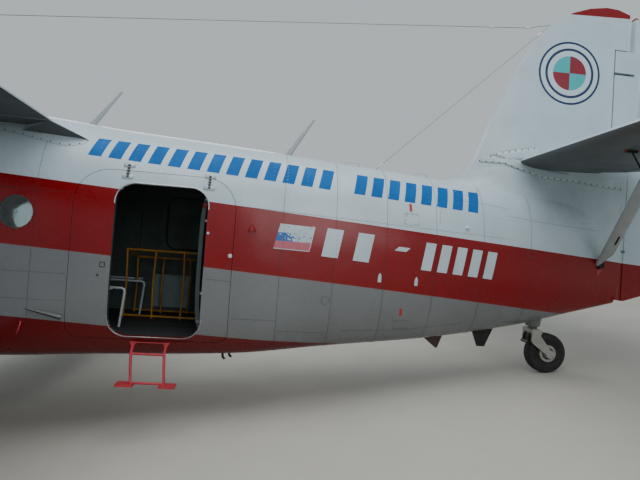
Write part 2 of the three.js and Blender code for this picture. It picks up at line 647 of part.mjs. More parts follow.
// Wings: panels cut for their control surfaces, mirrored for the port side
const upperPanel = wingPanel(upper);
const upperFlap = hinged(upper, upperPanel, SURFACES.upper_flap);
const aileron = hinged(upper, upperPanel, SURFACES.aileron);
const lowerPanel = wingPanel(lower);
const lowerFlap = hinged(lower, lowerPanel, SURFACES.lower_flap);
const hullSeat = ovalLoft(HULL_STATIONS, hull.cabinX, hull.tailX, -SEAT_GAP);

// Two cut versions of one panel, taken together
function meetParts(inner, outer) {
  const split = 4795;
  return join(
    meet(inner, block(0, 9000, upper.rootY + SEAT_GAP, split, -3000, 3000)),
    meet(outer, block(0, 9000, split, 9999, -3000, 3000)),
  );
}

const upperWing = cut(withDihedral(upper, meetParts(upperFlap.fixed, aileron.fixed)), hullSeat);
// Tail of the fillet between the lower wing and the skin
const rootFillet = rod(vec(4700, 850, -1075), vec(5640, 815, -1120), 110, 10, 18);
const lowerWing = cut(join(withDihedral(lower, lowerFlap.fixed), rootFillet), hullSeat);

function controlSurface(name, wing, surface, moving, flip, side) {
  const { x, z } = hingeLine(wing, surface);
  const y = surface.brackets[0];
  const rise = Math.tan(rad(wing.dihedral)) * (y - wing.rootY);
  const group = pivot(`${name}_hinge`, vec(x, side * y, z + rise));
  group.hold(name, flip(withDihedral(wing, moving)), finish.white);
}

for (const [side, flip, sign] of SIDES) {
  piece(`upper_wing_${side}`, flip(upperWing), finish.white);
  piece(`lower_wing_${side}`, flip(lowerWing), finish.white);
  controlSurface(`upper_flap_${side}`, upper, SURFACES.upper_flap, upperFlap.moving, flip, sign);
  controlSurface(`aileron_${side}`, upper, SURFACES.aileron, aileron.moving, flip, sign);
  controlSurface(`lower_flap_${side}`, lower, SURFACES.lower_flap, lowerFlap.moving, flip, sign);
}

// Interplane struts and bracing wires
const upperAt = (y) => upper.leZ + Math.tan(rad(upper.dihedral)) * (y - upper.rootY);
const lowerAt = (y) => lower.leZ + Math.tan(rad(lower.dihedral)) * (y - lower.rootY);
const wingSeats = [moved(upperWing, 0, 0, -SEAT_GAP), moved(lowerWing, 0, 0, SEAT_GAP)];
function interplaneStrut() {
  const [z0, z1] = [lowerAt(strut.y), upperAt(strut.y)];
  const [foot, head] = [[3600, 4520], [3680, 4760]];
  const flare = 520;
  const mid = (foot[0] + foot[1] + head[0] + head[1]) / 4;
  const shape = new THREE.Shape()
    .moveTo(foot[0], z0).lineTo(foot[1], z0)
    .quadraticCurveTo(mid + strut.waist / 2, z0 + 200, mid + strut.waist / 2, z0 + flare)
    .lineTo(mid + strut.waist / 2, z1 - flare)
    .quadraticCurveTo(mid + strut.waist / 2, z1 - 200, head[1], z1)
    .lineTo(head[0], z1)
    .quadraticCurveTo(mid - strut.waist / 2, z1 - 200, mid - strut.waist / 2, z1 - flare)
    .lineTo(mid - strut.waist / 2, z0 + flare)
    .quadraticCurveTo(mid - strut.waist / 2, z0 + 200, foot[0], z0);
  const extrusion = { depth: strut.thickness, bevelEnabled: false, curveSegments: 5 };
  const body = new THREE.ExtrudeGeometry(shape, extrusion)
    .rotateX(Math.PI / 2)
    .translate(0, strut.y + strut.thickness / 2, 0);
  return cut(body, ...wingSeats);
}

function bracingWires() {
  const outerY = strut.y - 110;
  const [innerLow, innerHigh] = [lowerAt(wire.innerY), upperAt(wire.innerY)];
  const [outerLow, outerHigh] = [lowerAt(outerY), upperAt(outerY)];
  const wires = [-1, 1].flatMap((side) => [
    rod(vec(4080 + side * wire.spacing / 2, wire.innerY, innerLow),
      vec(4080 + side * wire.spacing / 2, outerY, outerHigh), wire.radius, 6),
    rod(vec(4080 + side * wire.spacing / 4, wire.innerY, innerHigh),
      vec(4080 + side * wire.spacing / 4, outerY, outerLow), wire.radius, 6),
  ]);
  const share = (innerHigh - innerLow) / ((innerHigh - innerLow) + (outerHigh - outerLow));
  const crossing = vec(4080, wire.innerY + (outerY - wire.innerY) * share,
    innerLow + (outerHigh - innerLow) * share);
  const spreader = new THREE.BoxGeometry(wire.spacing + 50, 80, 60).translate(...crossing.toArray());
  return cut(join(...wires, spreader), ...wingSeats);
}
for (const [side, flip] of SIDES) {
  piece(`interplane_strut_${side}`, flip(interplaneStrut()), finish.white);
  piece(`bracing_wires_${side}`, flip(bracingWires()), finish.steel);
}

// Tail: fin outline, rudder outline, tailplane halves with elevators
const FIN = { rootZ: 560 };
const finShape = new THREE.Shape()
  .moveTo(9560, FIN.rootZ).lineTo(9797, 888).quadraticCurveTo(9930, 1060, 10173, 1771)
  .lineTo(10540, 2473).quadraticCurveTo(10830, 2860, 11404, 3015)
  .quadraticCurveTo(11600, 3005, 11700, 2960)
  .lineTo(11700, FIN.rootZ);
const rudderAft = [
  [12100, 2790], [12420, 2450], [12640, 1900], [rudder.teX, 1200], [12700, 500], [12540, -60], [12200, -272],
];
const rudderShape = new THREE.Shape()
  .moveTo(rudder.hingeX + 25, 2940)
  .lineTo(rudder.hingeX + 120, rudder.topZ - 10)
  .splineThru(rudderAft.map(([x, z]) => new THREE.Vector2(x, z)))
  .lineTo(rudder.hingeX + 60, rudder.bottomZ)
  .lineTo(rudder.hingeX + 25, rudder.bottomZ);

// A fin-like slab: full outline in side view, thickness tapering in plan from the hinge forward and aft
function slabOf(shape, steps) {
  return new THREE.ExtrudeGeometry(shape, { depth: 400, bevelEnabled: false, curveSegments: steps })
    .rotateX(Math.PI / 2)
    .translate(0, 200, 0);
}
// Plan sections of the vertical tail: x, half thickness at the root, half thickness at the tip
const VERTICAL_TAIL = [
  [9500, 20, 10], [9900, 55, 14], [10500, 92, 22], [11100, 96, 40], [11700, 74, 34], [12200, 42, 20],
  [12760, 6, 5],
];
const tailEnvelope = loft([-600, 1000, 3100].map((z, level) => {
  const share = level < 2 ? 0 : 1;
  const halves = VERTICAL_TAIL.map(([x, root, tip]) => [x, root + (tip - root) * share]);
  return [
    ...halves.map(([x, h]) => vec(x, h, z)),
    ...halves.toReversed().map(([x, h]) => vec(x, -h, z)),
  ];
}));
const rudderAxis = (z0, z1, r, sides) => rod(vec(rudder.hingeX, 0, z0), vec(rudder.hingeX, 0, z1), r, sides);
const rudderNose = block(rudder.noseX, rudder.hingeX + 200, -200, 200, rudder.noseBottomZ, rudder.noseTopZ);
const rudderClear = block(rudder.noseX - 14, rudder.hingeX + 300, -200, 200,
  rudder.noseBottomZ - 12, rudder.noseTopZ + 12);
const finLugs = rudder.brackets.map((z) => join(
  block((z > rudder.noseBottomZ ? rudder.noseX : 11700) - 40, rudder.hingeX + bracket.reach,
    -bracket.reach, bracket.reach, z - bracket.plate / 2, z + bracket.plate / 2),
  rudderAxis(z - bracket.pinLength / 2, z + bracket.pinLength / 2, bracket.pinRadius, PIN_SIDES),
));
const rudderBody = cut(
  join(
    meet(slabOf(rudderShape, 5), tailEnvelope),
    meet(rudderNose, tailEnvelope),
  ),
  ...rudder.brackets.flatMap((z) => [
    rudderAxis(z - bracket.pinLength / 2 - 3, z + bracket.pinLength / 2 + 3,
      bracket.pinRadius * PIN_FIT, PIN_SIDES),
    block(rudder.noseX - 40, rudder.hingeX + bracket.clear, -200, 200,
      z - bracket.notch / 2, z + bracket.notch / 2),
  ]),
);
const rudderPivot = pivot('rudder_hinge', vec(rudder.hingeX, 0, rudder.brackets[0]));
rudderPivot.hold('rudder', rudderBody, finish.white);

// The tailplane and elevators are cut back beside the rudder so that it can swing
const rudderSwing = loft([-3000, 3000].map((z) => [
  vec(11400, 140, z), vec(11700, 140, z), vec(12800, 760, z), vec(12800, -200, z), vec(11400, -200, z),
]));
const stabiliser = hinged(tailplane, wingPanel(tailplane), SURFACES.elevator);
const fixedTail = cut(stabiliser.fixed, moved(tailEnvelope, 0, SEAT_GAP, 0), rudderSwing);
const finBody = cut(
  join(cut(meet(slabOf(finShape, 6), tailEnvelope), rudderClear), ...finLugs.slice(1)),
  moved(ovalLoft(HULL_STATIONS, 9000, hull.sternX, 0), 0, 0, SEAT_GAP),
  block(0, 20000, -900, 900, -3000, 700),
);
piece('fin', finBody, finish.white);
const elevatorBody = cut(stabiliser.moving, rudderSwing);
const hingeZ = hingeLine(tailplane, SURFACES.elevator);
for (const [side, flip, sign] of SIDES) {
  piece(`tailplane_${side}`, flip(fixedTail), finish.white);
  const hingeY = sign * SURFACES.elevator.brackets[0];
  const group = pivot(`elevator_${side}_hinge`, vec(hingeZ.x, hingeY, hingeZ.z));
  group.hold(`elevator_${side}`, flip(elevatorBody), finish.white);
}

// Tailplane struts
const hullTailSeat = ovalLoft(HULL_STATIONS, 9000, hull.sternX, -SEAT_GAP);
const tailStrut = cut(
  fairedBar(vec(11450, 150, 0), vec(10850, 1750, 1080), 140, 48),
  hullTailSeat,
  moved(fixedTail, 0, 0, -SEAT_GAP),
);
for (const [side, flip] of SIDES) piece(`tailplane_strut_${side}`, flip(tailStrut), finish.silver);

// Main gear: a V of two legs with the axle, a shock strut, the wheel
const hullFrontSeat = ovalLoft(HULL_STATIONS, hull.noseX, hull.tailX, -SEAT_GAP);
const axleIn = mainWheel.y - 230;
const gearLeg = cut(
  join(
    rod(vec(2480, 500, -1000), vec(mainWheel.x, axleIn, mainWheel.z), 44, 10),
    rod(vec(3240, 500, -1150), vec(mainWheel.x, axleIn, mainWheel.z), 44, 10),
    rod(vec(mainWheel.x, axleIn - 60, mainWheel.z), vec(mainWheel.x, mainWheel.y + 120, mainWheel.z),
      mainWheel.axle, SHAFT_SIDES),
    block(mainWheel.x - 60, mainWheel.x + 60, axleIn - 60, axleIn + 60, mainWheel.z - 60, mainWheel.z + 80),
  ),
  hullFrontSeat,
);
const shockStrut = cut(
  join(
    rod(vec(2700, 760, -420), vec(2745, 1180, -1350), 62, 12),
    rod(vec(2745, 1180, -1350), vec(mainWheel.x, axleIn, mainWheel.z + 80 + SEAT_GAP + 40), 44, 12),
  ),
  hullFrontSeat,
  moved(gearLeg, 0, 0, SEAT_GAP),
);
// A wheel about the Y axis at the origin: rim with hub, and tyre
function wheel(w) {
  const [halfWidth, bore] = [w.width / 2, w.axle * SHAFT_FIT];
  const rim = turned([
    [-halfWidth * 0.72, bore], [-halfWidth * 0.72, bore + 25], [-halfWidth * 0.3, bore + 35],
    [-halfWidth * 0.62, w.rimRadius - 14], [-halfWidth * 0.62, w.rimRadius], [halfWidth * 0.62, w.rimRadius],
    [halfWidth * 0.62, w.rimRadius - 14], [halfWidth * 0.3, bore + 35], [halfWidth * 0.72, bore + 25],
    [halfWidth * 0.72, bore], [-halfWidth * 0.72, bore],
  ], SHAFT_SIDES).rotateZ(Math.PI / 2);
  const inner = w.rimRadius + SEAT_GAP;
  const tyre = turned([
    [-halfWidth * 0.6, inner], [-halfWidth, (inner + w.radius) / 2], [-halfWidth * 0.86, w.radius * 0.94],
    [-halfWidth * 0.4, w.radius], [halfWidth * 0.4, w.radius], [halfWidth * 0.86, w.radius * 0.94],
    [halfWidth, (inner + w.radius) / 2], [halfWidth * 0.6, inner], [-halfWidth * 0.6, inner],
  ], SHAFT_SIDES).rotateZ(Math.PI / 2);
  return { rim, tyre };
}
const mainParts = wheel(mainWheel);
for (const [side, flip, sign] of SIDES) {
  piece(`main_gear_leg_${side}`, flip(gearLeg), finish.white);
  piece(`shock_strut_${side}`, flip(shockStrut), finish.steel);
  const group = pivot(`main_wheel_${side}_hinge`, vec(mainWheel.x, sign * mainWheel.y, mainWheel.z));
  piece(`wheel_rim_${side}`, mainParts.rim, finish.grey, group);
  piece(`tyre_${side}`, mainParts.tyre, finish.black, group);
}

// Tail gear: stem on the tail cone, swivelling fork, wheel
piece('tail_gear_stem', cut(
  join(
    rod(vec(tailFork.pivotX, 0, -500), vec(tailFork.pivotX, 0, tailFork.pivotZ + 30), 70, 12, 50),
    rod(vec(tailFork.pivotX, 0, -600), vec(tailFork.pivotX, 0, tailFork.pivotZ - 45),
      tailFork.stemRadius, SHAFT_SIDES),
  ),
  hullTailSeat,
), finish.silver);
const fork = pivot('tail_fork_hinge', vec(tailFork.pivotX, 0, tailFork.pivotZ));
const crown = block(tailFork.pivotX - 60, tailFork.pivotX + 55, -tailFork.armY - 16, tailFork.armY + 16,
  tailFork.pivotZ - 35, tailFork.pivotZ + 29);
const forkArms = [-1, 1].map((side) => fairedBar(
  vec(tailFork.pivotX, side * tailFork.armY, tailFork.pivotZ - 10),
  vec(tailWheel.x, side * tailFork.armY, tailWheel.z), 70, 26));
fork.hold('tail_fork', cut(
  join(crown, ...forkArms, rod(vec(tailWheel.x, -tailFork.armY - 10, tailWheel.z),
    vec(tailWheel.x, tailFork.armY + 10, tailWheel.z), tailWheel.axle, SHAFT_SIDES)),
  rod(vec(tailFork.pivotX, 0, -600), vec(tailFork.pivotX, 0, tailFork.pivotZ - 60),
    tailFork.stemRadius * SHAFT_FIT, SHAFT_SIDES),
), finish.silver);
const tailHub = vec(tailWheel.x - tailFork.pivotX, 0, tailWheel.z - tailFork.pivotZ);
const tailSpin = pivot('tail_wheel_hinge', tailHub, fork);
const tailParts = wheel(tailWheel);
piece('tail_wheel_rim', tailParts.rim, finish.silver, tailSpin);
piece('tail_tyre', tailParts.tyre, finish.black, tailSpin);

// Parked on its wheels, with the origin on the ground under the middle of the length
airframe.rotation.y = PARKED_PITCH;
const biplane = new THREE.Group();
biplane.name = 'biplane';
biplane.add(airframe);
biplane.updateMatrixWorld(true);
const extent = new THREE.Box3().setFromObject(biplane, true);
airframe.position.set(-(extent.min.x + extent.max.x) / 2, 0, -extent.min.z);
export default biplane;
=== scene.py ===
import json
import math

import bmesh
import bpy
from mathutils import Matrix, Vector


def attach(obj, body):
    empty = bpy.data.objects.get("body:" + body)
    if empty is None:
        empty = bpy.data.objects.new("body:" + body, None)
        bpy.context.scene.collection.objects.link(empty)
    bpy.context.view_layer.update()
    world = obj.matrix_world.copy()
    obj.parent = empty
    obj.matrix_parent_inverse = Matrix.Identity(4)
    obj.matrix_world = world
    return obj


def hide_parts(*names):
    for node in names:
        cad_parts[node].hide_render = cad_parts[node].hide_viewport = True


bl_info = {
    "name": "Utility Biplane",
    "version": (1, 0, 0),
    "blender": (4, 5, 0),
    "location": "View3D > Sidebar > Biplane",
    "description": "Skins, fittings and finishes of a parked utility biplane",
    "category": "Object",
}

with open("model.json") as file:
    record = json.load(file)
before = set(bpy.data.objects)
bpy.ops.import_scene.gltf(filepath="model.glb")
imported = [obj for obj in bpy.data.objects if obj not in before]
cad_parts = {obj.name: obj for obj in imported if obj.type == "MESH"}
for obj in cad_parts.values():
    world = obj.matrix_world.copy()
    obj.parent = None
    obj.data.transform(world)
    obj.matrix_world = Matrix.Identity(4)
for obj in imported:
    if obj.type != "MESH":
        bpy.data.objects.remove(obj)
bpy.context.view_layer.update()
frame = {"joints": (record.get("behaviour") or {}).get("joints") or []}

# The airframe is laid out level, in metres: X aft from the propeller's nose, Y to starboard, Z up
# from the thrust line. AIRFRAME takes that to the parked frame, and comes from the propeller's joint.
SPINNER = Vector((.3, 0, 0))
SHAFT = next(j for j in frame["joints"] if j["name"] == "propeller_spin")
PITCH = math.atan2(-SHAFT["axis"][2], SHAFT["axis"][0])
LEVEL_TURN = Matrix.Rotation(PITCH, 4, "Y")
AIRFRAME = Matrix.Translation(Vector(SHAFT["pos_m"]) - LEVEL_TURN @ SPINNER) @ LEVEL_TURN
SIDES = (("left", -1), ("right", 1))

# Fuselage stations: x, half width, top z, bottom z, widest z, power above, power below
HULL = [
    (1.600, .7147, .7147, -.7147, 0, 2, 2),
    (1.700, .745, .745, -.750, 0, 2, 2),
    (2.100, .800, .800, -.960, -.02, 2.2, 2.4),
    (2.700, .870, .980, -1.150, -.04, 2.4, 3.0),
    (3.300, .895, 1.080, -1.240, -.04, 2.8, 4.4),
    (4.200, .905, 1.130, -1.285, -.04, 2.8, 5),
    (5.200, .905, 1.110, -1.270, -.04, 2.8, 5),
    (6.140, .900, 1.034, -1.211, -.04, 2.8, 5),
    (7.400, .860, .965, -1.150, -.04, 2.7, 4.6),
    (8.290, .770, .908, -1.061, -.03, 2.5, 3.4),
    (9.360, .610, .845, -.952, 0, 2.2, 2.6),
    (10.475, .400, .780, -.755, .06, 2.1, 2.3),
    (11.200, .230, .765, -.565, .15, 2, 2.1),
    (11.720, .095, .750, -.425, .22, 2, 2),
]
NOSE_X, COCKPIT_X, CABIN_X, TAIL_X, STERN_X = 1.6, 2.1, 3.3, 7.4, 11.72
SKIN = .04
SILL_Z = .52
CABIN_FLOOR, COCKPIT_FLOOR = -.95, -.45
# Doors in the side wall: ends in x and z, and the radii of the lower and the upper corners
CARGO_DOOR = dict(x0=5.945, x1=7.37, z0=-.985, z1=.545, low=.11, high=.3)
PAX_DOOR = dict(x0=6.303, x1=7.115, z0=-.949, z1=.429, low=.165, high=.165)
EXIT_HATCH = dict(x0=6.4, x1=6.91, z0=-.18, z1=.47, low=.12, high=.12)
PAX_HINGE = Vector((7.12, -.785, 0))
PAX_OPEN = math.radians(105)
WINDOW = dict(radius=.147, z=.095, xs=(5.474, 4.7, 3.93))

# Wings: root y, tip y, leading edge x and z, chord, thickness, dihedral, incidence, camber
UPPER = dict(y0=.65, y1=9.088, x=3.3, z=1.04, chord=2.4, thick=.13, dihedral=2.8, incidence=3, camber=.03)
LOWER = dict(y0=.45, y1=7.118, x=3.32, z=-1.06, chord=2, thick=.13, dihedral=3.6, incidence=1, camber=.03)
TAILPLANE = dict(y0=.06, y1=3.6, x=10.45, z=1.12, chord=1.78, thick=.1, dihedral=0, incidence=-1, camber=0)
# Control surfaces: wing, inner y, outer y, hinge as a share of the chord, hinge fittings
SURFACES = {
    "upper_flap": (UPPER, .89, 4.76, .79, (1.4, 4.2)),
    "aileron": (UPPER, 4.83, 8.7, .77, (5.45, 8.1)),
    "lower_flap": (LOWER, 1.08, 6.56, .78, (1.7, 5.9)),
    "elevator": (TAILPLANE, .17, 3.3, .65, (.9, 2.7)),
}
SWING_GAP = .008
# Fin roundel: its middle, and the outer radii of its rings and quartered disc
ROUNDEL = dict(x=10.98, z=2.19, radii=(.37, .345, .292, .262, .2))


def linear(hex_colour):
    """An sRGB hex colour as linear red, green, blue and alpha."""
    parts = [int(hex_colour[i:i + 2], 16) / 255 for i in (1, 3, 5)]
    return tuple(c / 12.92 if c <= .04045 else ((c + .055) / 1.055) ** 2.4 for c in parts) + (1,)


def add(tree, kind, links=(), **settings):
    """Adds a node. links maps an input's name or number to a value or to another node's output."""
    made = tree.nodes.new(kind)
    for key, value in settings.items():
        setattr(made, key, value)
    for key, value in dict(links).items():
        if isinstance(value, bpy.types.NodeSocket):
            tree.links.new(value, made.inputs[key])
        else:
            made.inputs[key].default_value = value
    return made


# Settings
class BiplanePaint(bpy.types.PropertyGroup):
    white: bpy.props.FloatVectorProperty(
        name="Upper White", description="Cool white of the upper fuselage, wings and tail", size=4,
        subtype="COLOR", default=linear("#b4c6cf"))
    red: bpy.props.FloatVectorProperty(
        name="Crimson", description="Gloss crimson of the side band and belly", size=4,
        subtype="COLOR", default=linear("#7c0009"))
    grey: bpy.props.FloatVectorProperty(
        name="Band Grey", description="Mid grey of the lower side band", size=4,
        subtype="COLOR", default=linear("#727476"))
    # The underside grey is real grey paint, darkened further as painted shade under the wings and tailplane
    underside_with_shade: bpy.props.FloatVectorProperty(
        name="Underside Grey", description="Grey under the wings and tailplane", size=4,
        subtype="COLOR", default=linear("#4f5253"))
    blue: bpy.props.FloatVectorProperty(
        name="Marking Blue", description="Blue of the bars along the shoulder", size=4,
        subtype="COLOR", default=linear("#1560a8"))
    teal: bpy.props.FloatVectorProperty(
        name="Roundel Teal", description="Teal quarters of the fin roundel", size=4,
        subtype="COLOR", default=linear("#3fa3a8"))
    interior: bpy.props.FloatVectorProperty(
        name="Cabin Green-grey", description="Primer of the cabin walls and frames", size=4,
        subtype="COLOR", default=linear("#3c4a48"))
    yellow: bpy.props.FloatVectorProperty(
        name="Rail Yellow", description="Ochre yellow of the guard rail", size=4,
        subtype="COLOR", default=linear("#b5801f"))
    ladder: bpy.props.FloatVectorProperty(
        name="Ladder Red", description="Faded red of the boarding ladder", size=4,
        subtype="COLOR", default=linear("#b3303c"))


class BiplaneSizes(bpy.types.PropertyGroup):
    hull_sides: bpy.props.IntProperty(
        name="Fuselage Sides", description="Points round a fuselage section", default=96, min=24)
    hull_step: bpy.props.FloatProperty(
        name="Station Step", description="Length between fuselage sections", default=.11, unit="LENGTH")
    rib_pitch: bpy.props.FloatProperty(name="Rib Pitch",
                                       description="Distance between the ribs under the fabric",
                                       default=.29, unit="LENGTH")
    fabric_sag: bpy.props.FloatProperty(name="Fabric Sag",
                                        description="How far the fabric sinks between two ribs",
                                        default=.004, unit="LENGTH")
    rivet: bpy.props.FloatProperty(
        name="Rivet Radius", description="Radius of a rivet head", default=.0042, unit="LENGTH")
    rivet_pitch: bpy.props.FloatProperty(
        name="Rivet Pitch", description="Distance between rivets in a row", default=.042, unit="LENGTH")
    seam: bpy.props.FloatProperty(
        name="Seam Width", description="Width of a skin joint's dark line", default=.0028, unit="LENGTH")


class BiplaneStage(bpy.types.PropertyGroup):
    sky: bpy.props.FloatProperty(
        name="Sky Strength", description="Brightness of the surrounding light", default=.95, min=0)
    key: bpy.props.FloatProperty(
        name="Overhead Power", description="Power of the overhead softbox", default=900, subtype="POWER")
    side: bpy.props.FloatProperty(
        name="Side Power", description="Power of the softbox beside the camera", default=420, subtype="POWER")
    floor: bpy.props.FloatVectorProperty(
        name="Floor Colour", description="Colour of the plain floor", size=4, subtype="COLOR",
        default=linear("#b4b2a9"))


def paint():
    return bpy.context.scene.biplane_paint


def sizes():
    return bpy.context.scene.biplane_sizes


# Shapes
class Form:
    """Surfaces of one piece while it is being built, in level airframe coordinates."""

    def __init__(self):
        self.verts = []
        self.faces = []

    def add(self, verts, faces):
        start = len(self.verts)
        self.verts += [Vector(v) for v in verts]
        self.faces += [[start + i for i in face] for face in faces]
        return self

    def loft(self, rings, capped=True, looped=False, closed=True):
        """A skin through rings of points. looped joins the last ring to the first."""
        count = len(rings[0])
        spans = len(rings) if looped else len(rings) - 1
        faces = []
        for r in range(spans):
            a, b = r * count, (r + 1) % len(rings) * count
            for i in range(count if closed else count - 1):
                j = (i + 1) % count
                faces.append([a + i, a + j, b + j, b + i])
        if capped and not looped:
            faces.append(list(range(count))[::-1])
            faces.append(list(range((len(rings) - 1) * count, len(rings) * count)))
        return self.add([p for ring in rings for p in ring], faces)

    def tube(self, path, radius, sides=10):
        """A round bar along a path. radius is one number, or one for each point."""
        path = [Vector(p) for p in path]
        radii = radius if isinstance(radius, (list, tuple)) else [radius] * len(path)
        side = None
        rings = []
        for i, point in enumerate(path):
            along = (path[min(i + 1, len(path) - 1)] - path[max(i - 1, 0)]).normalized()
            side = along.orthogonal() if side is None else side - along * side.dot(along)
            side.normalize()
            up = along.cross(side)
            turns = [2 * math.pi * k / sides for k in range(sides)]
            rings.append([point + (side * math.cos(t) + up * math.sin(t)) * radii[i] for t in turns])
        return self.loft(rings)

    def box(self, low, high):
        corners = [(x, y, z) for x in (low[0], high[0]) for y in (low[1], high[1]) for z in (low[2], high[2])]
        return self.add(corners,
                        [(0, 1, 3, 2), (4, 6, 7, 5), (0, 4, 5, 1), (2, 3, 7, 6), (0, 2, 6, 4),
                         (1, 5, 7, 3)])

    def turned(self, profile, matrix=Matrix(), sides=48, looped=False):
        """A solid of revolution about the X axis of matrix, from (along, radius) pairs."""
        rings = []
        for along, radius in profile:
            turns = [2 * math.pi * k / sides for k in range(sides)]
            rings.append([matrix @ Vector((along, radius * math.cos(t), radius * math.sin(t)))
                          for t in turns])
        return self.loft(rings, looped=looped)

    def prism(self, outline, y0, y1):
        """An outline of (x, z) points pushed along Y."""
        return self.loft([[(x, y, z) for x, z in outline] for y in (y0, y1)])

    def bar(self, start, end, chord, thickness, sides=20):
        """A strut of flattened oval section, its chord along X."""
        start, end = Vector(start), Vector(end)
        along = (end - start).normalized()
        fore = (Vector((1, 0, 0)) - along * along.x).normalized()
        across = along.cross(fore)
        turns = [2 * math.pi * k / sides for k in range(sides)]
        section = [fore * math.cos(t) * chord / 2 + across * math.sin(t) * thickness / 2 for t in turns]
        return self.loft([[end_point + p for p in section] for end_point in (start, end)])

    def moved(self, matrix):
        self.verts = [matrix @ v for v in self.verts]
        return self

    def raw(self, name="tool"):
        """The form as an object, still in level coordinates."""
        mesh = bpy.data.meshes.new(name)
        mesh.from_pydata([tuple(v) for v in self.verts], [], self.faces)
        piece = bpy.data.objects.new(name, mesh)
        bpy.context.scene.collection.objects.link(piece)
        settle_normals(piece)
        return piece


def settle_normals(piece):
    work = bmesh.new()
    work.from_mesh(piece.data)
    bmesh.ops.recalc_face_normals(work, faces=work.faces)
    work.to_mesh(piece.data)
    work.free()


def as_object(piece):
    """A form or an object, as an object."""
    return piece.raw() if isinstance(piece, Form) else piece


def carve(base, *tools, operation="DIFFERENCE"):
    """Cuts each tool from base, or keeps what they share, and removes the tools."""
    base = as_object(base)
    for tool in map(as_object, tools):
        modifier = base.modifiers.new("carve", "BOOLEAN")
        modifier.operation = operation
        modifier.solver = "EXACT"
        modifier.object = tool
        graph = bpy.context.evaluated_depsgraph_get()
        mesh = bpy.data.meshes.new_from_object(base.evaluated_get(graph))
        base.modifiers.clear()
        base.data = mesh
        bpy.data.objects.remove(tool)
    return base


def copied(piece):
    twin = piece.copy()
    twin.data = piece.data.copy()
    bpy.context.scene.collection.objects.link(twin)
    return twin


def mirror_twin(piece):
    """A copy of a raw piece on the other side of the centre plane."""
    twin = copied(piece)
    twin.data.transform(Matrix.Scale(-1, 4, (0, 1, 0)))
    twin.data.flip_normals()
    return twin


def dress(piece, name, finishes, body="airframe", stands_for=(), place=AIRFRAME, sharp=35,
          pick=None):
    """Names a piece, moves its mesh to the parked frame, paints it and puts it on its body.
    finishes holds recipes or materials, and pick gives a face's number in it from its centre and
    normal in level coordinates."""
    piece = as_object(piece)
    mesh = piece.data
    piece.name = mesh.name = name
    mesh.materials.clear()
    for skin in finishes if isinstance(finishes, (list, tuple)) else [finishes]:
        mesh.materials.append(finish(skin) if callable(skin) else skin)
    for face in mesh.polygons:
        face.material_index = pick(face.center, face.normal) if pick else 0
    mesh.transform(place)
    mesh.shade_smooth()
    mesh.set_sharp_from_angle(angle=math.radians(sharp))
    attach(piece, body)
    if stands_for:
        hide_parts(*stands_for)
    return piece


def bevel(piece, width, segments=2):
    modifier = piece.modifiers.new("soft edges", "BEVEL")
    modifier.width = width
    modifier.segments = segments
    modifier.limit_method = "ANGLE"
    modifier.angle_limit = math.radians(40)
    modifier.harden_normals = True
    return piece


# Fuselage surface
def eased(table, x):
    """A table's row at x, through its rows with no overshoot."""
    i = max(1, next((k for k, row in enumerate(table) if row[0] >= x), len(table) - 1))
    a, b = table[i - 1], table[i]
    span = b[0] - a[0]
    t = min(1, max(0, (x - a[0]) / span))
    before = table[i - 2] if i > 1 else None
    after = table[i + 1] if i + 1 < len(table) else None
    row = [x]
    for k in range(1, len(a)):
        slope = (b[k] - a[k]) / span
        ends = []
        for other, near in ((before, a), (after, b)):
            if other is None:
                ends.append(slope)
                continue
            beside = (near[k] - other[k]) / (near[0] - other[0])
            ends.append(0 if beside * slope <= 0 else 2 * beside * slope / (beside + slope))
        row.append((2 * t ** 3 - 3 * t ** 2 + 1) * a[k] + (t ** 3 - 2 * t ** 2 + t) * span * ends[0]
                   + (3 * t ** 2 - 2 * t ** 3) * b[k] + (t ** 3 - t ** 2) * span * ends[1])
    return row


def oval(row, inset, sides):
    """One section ring. Point 0 is to starboard and a quarter of the way round is the top."""
    x, half, top, bottom, wide, above, below = row
    ring = []
    for i in range(sides):
        turn = 2 * math.pi * i / sides
        c, s = math.cos(turn), math.sin(turn)
        share = 2 / (above if s > 0 else below)
        height = (top - wide if s > 0 else wide - bottom) - inset
        ring.append(Vector((
            x,
            (half - inset) * math.copysign(abs(c) ** share, c),
            wide + height * math.copysign(abs(s) ** share, s))))
    return ring


def steps(x0, x1, pitch):
    count = max(1, round((x1 - x0) / pitch))
    return [x0 + (x1 - x0) * i / count for i in range(count + 1)]


def hull_loft(x0, x1, inset=0, table=HULL, sides=None):
    rings = [oval(eased(table, x), inset, sides or sizes().hull_sides)
             for x in steps(x0, x1, sizes().hull_step)]
    return Form().loft(rings)


def on_hull(x, z, side, proud=0):
    """The skin's point and outward normal at a length and a height, on one side."""
    _, half, top, bottom, wide, above, below = eased(HULL, x)
    power = above if z > wide else below
    height = top - wide if z > wide else wide - bottom
    level = min(1, abs(z - wide) / height)
    out = half * (1 - level ** power) ** (1 / power)
    normal = Vector((0, side * (out / half) ** (power - 1) / half,
                     math.copysign(level ** (power - 1) / height, z - wide)))
    normal.normalize()
    return Vector((x, side * out, z)) + normal * proud, normal


def patch(form, corners, side, proud, across=2, along=2, surface=on_hull):
    """A thin sheet on the skin between four (x, z) corners, given round the edge."""
    a, b, c, d = [Vector(p) for p in corners]
    rows = []
    for i in range(along + 1):
        low, high = a.lerp(b, i / along), d.lerp(c, i / along)
        spots = [low.lerp(high, j / across) for j in range(across + 1)]
        rows.append([surface(p.x, p.y, side, proud)[0] for p in spots])
    return form.loft(rows, capped=False, closed=False)


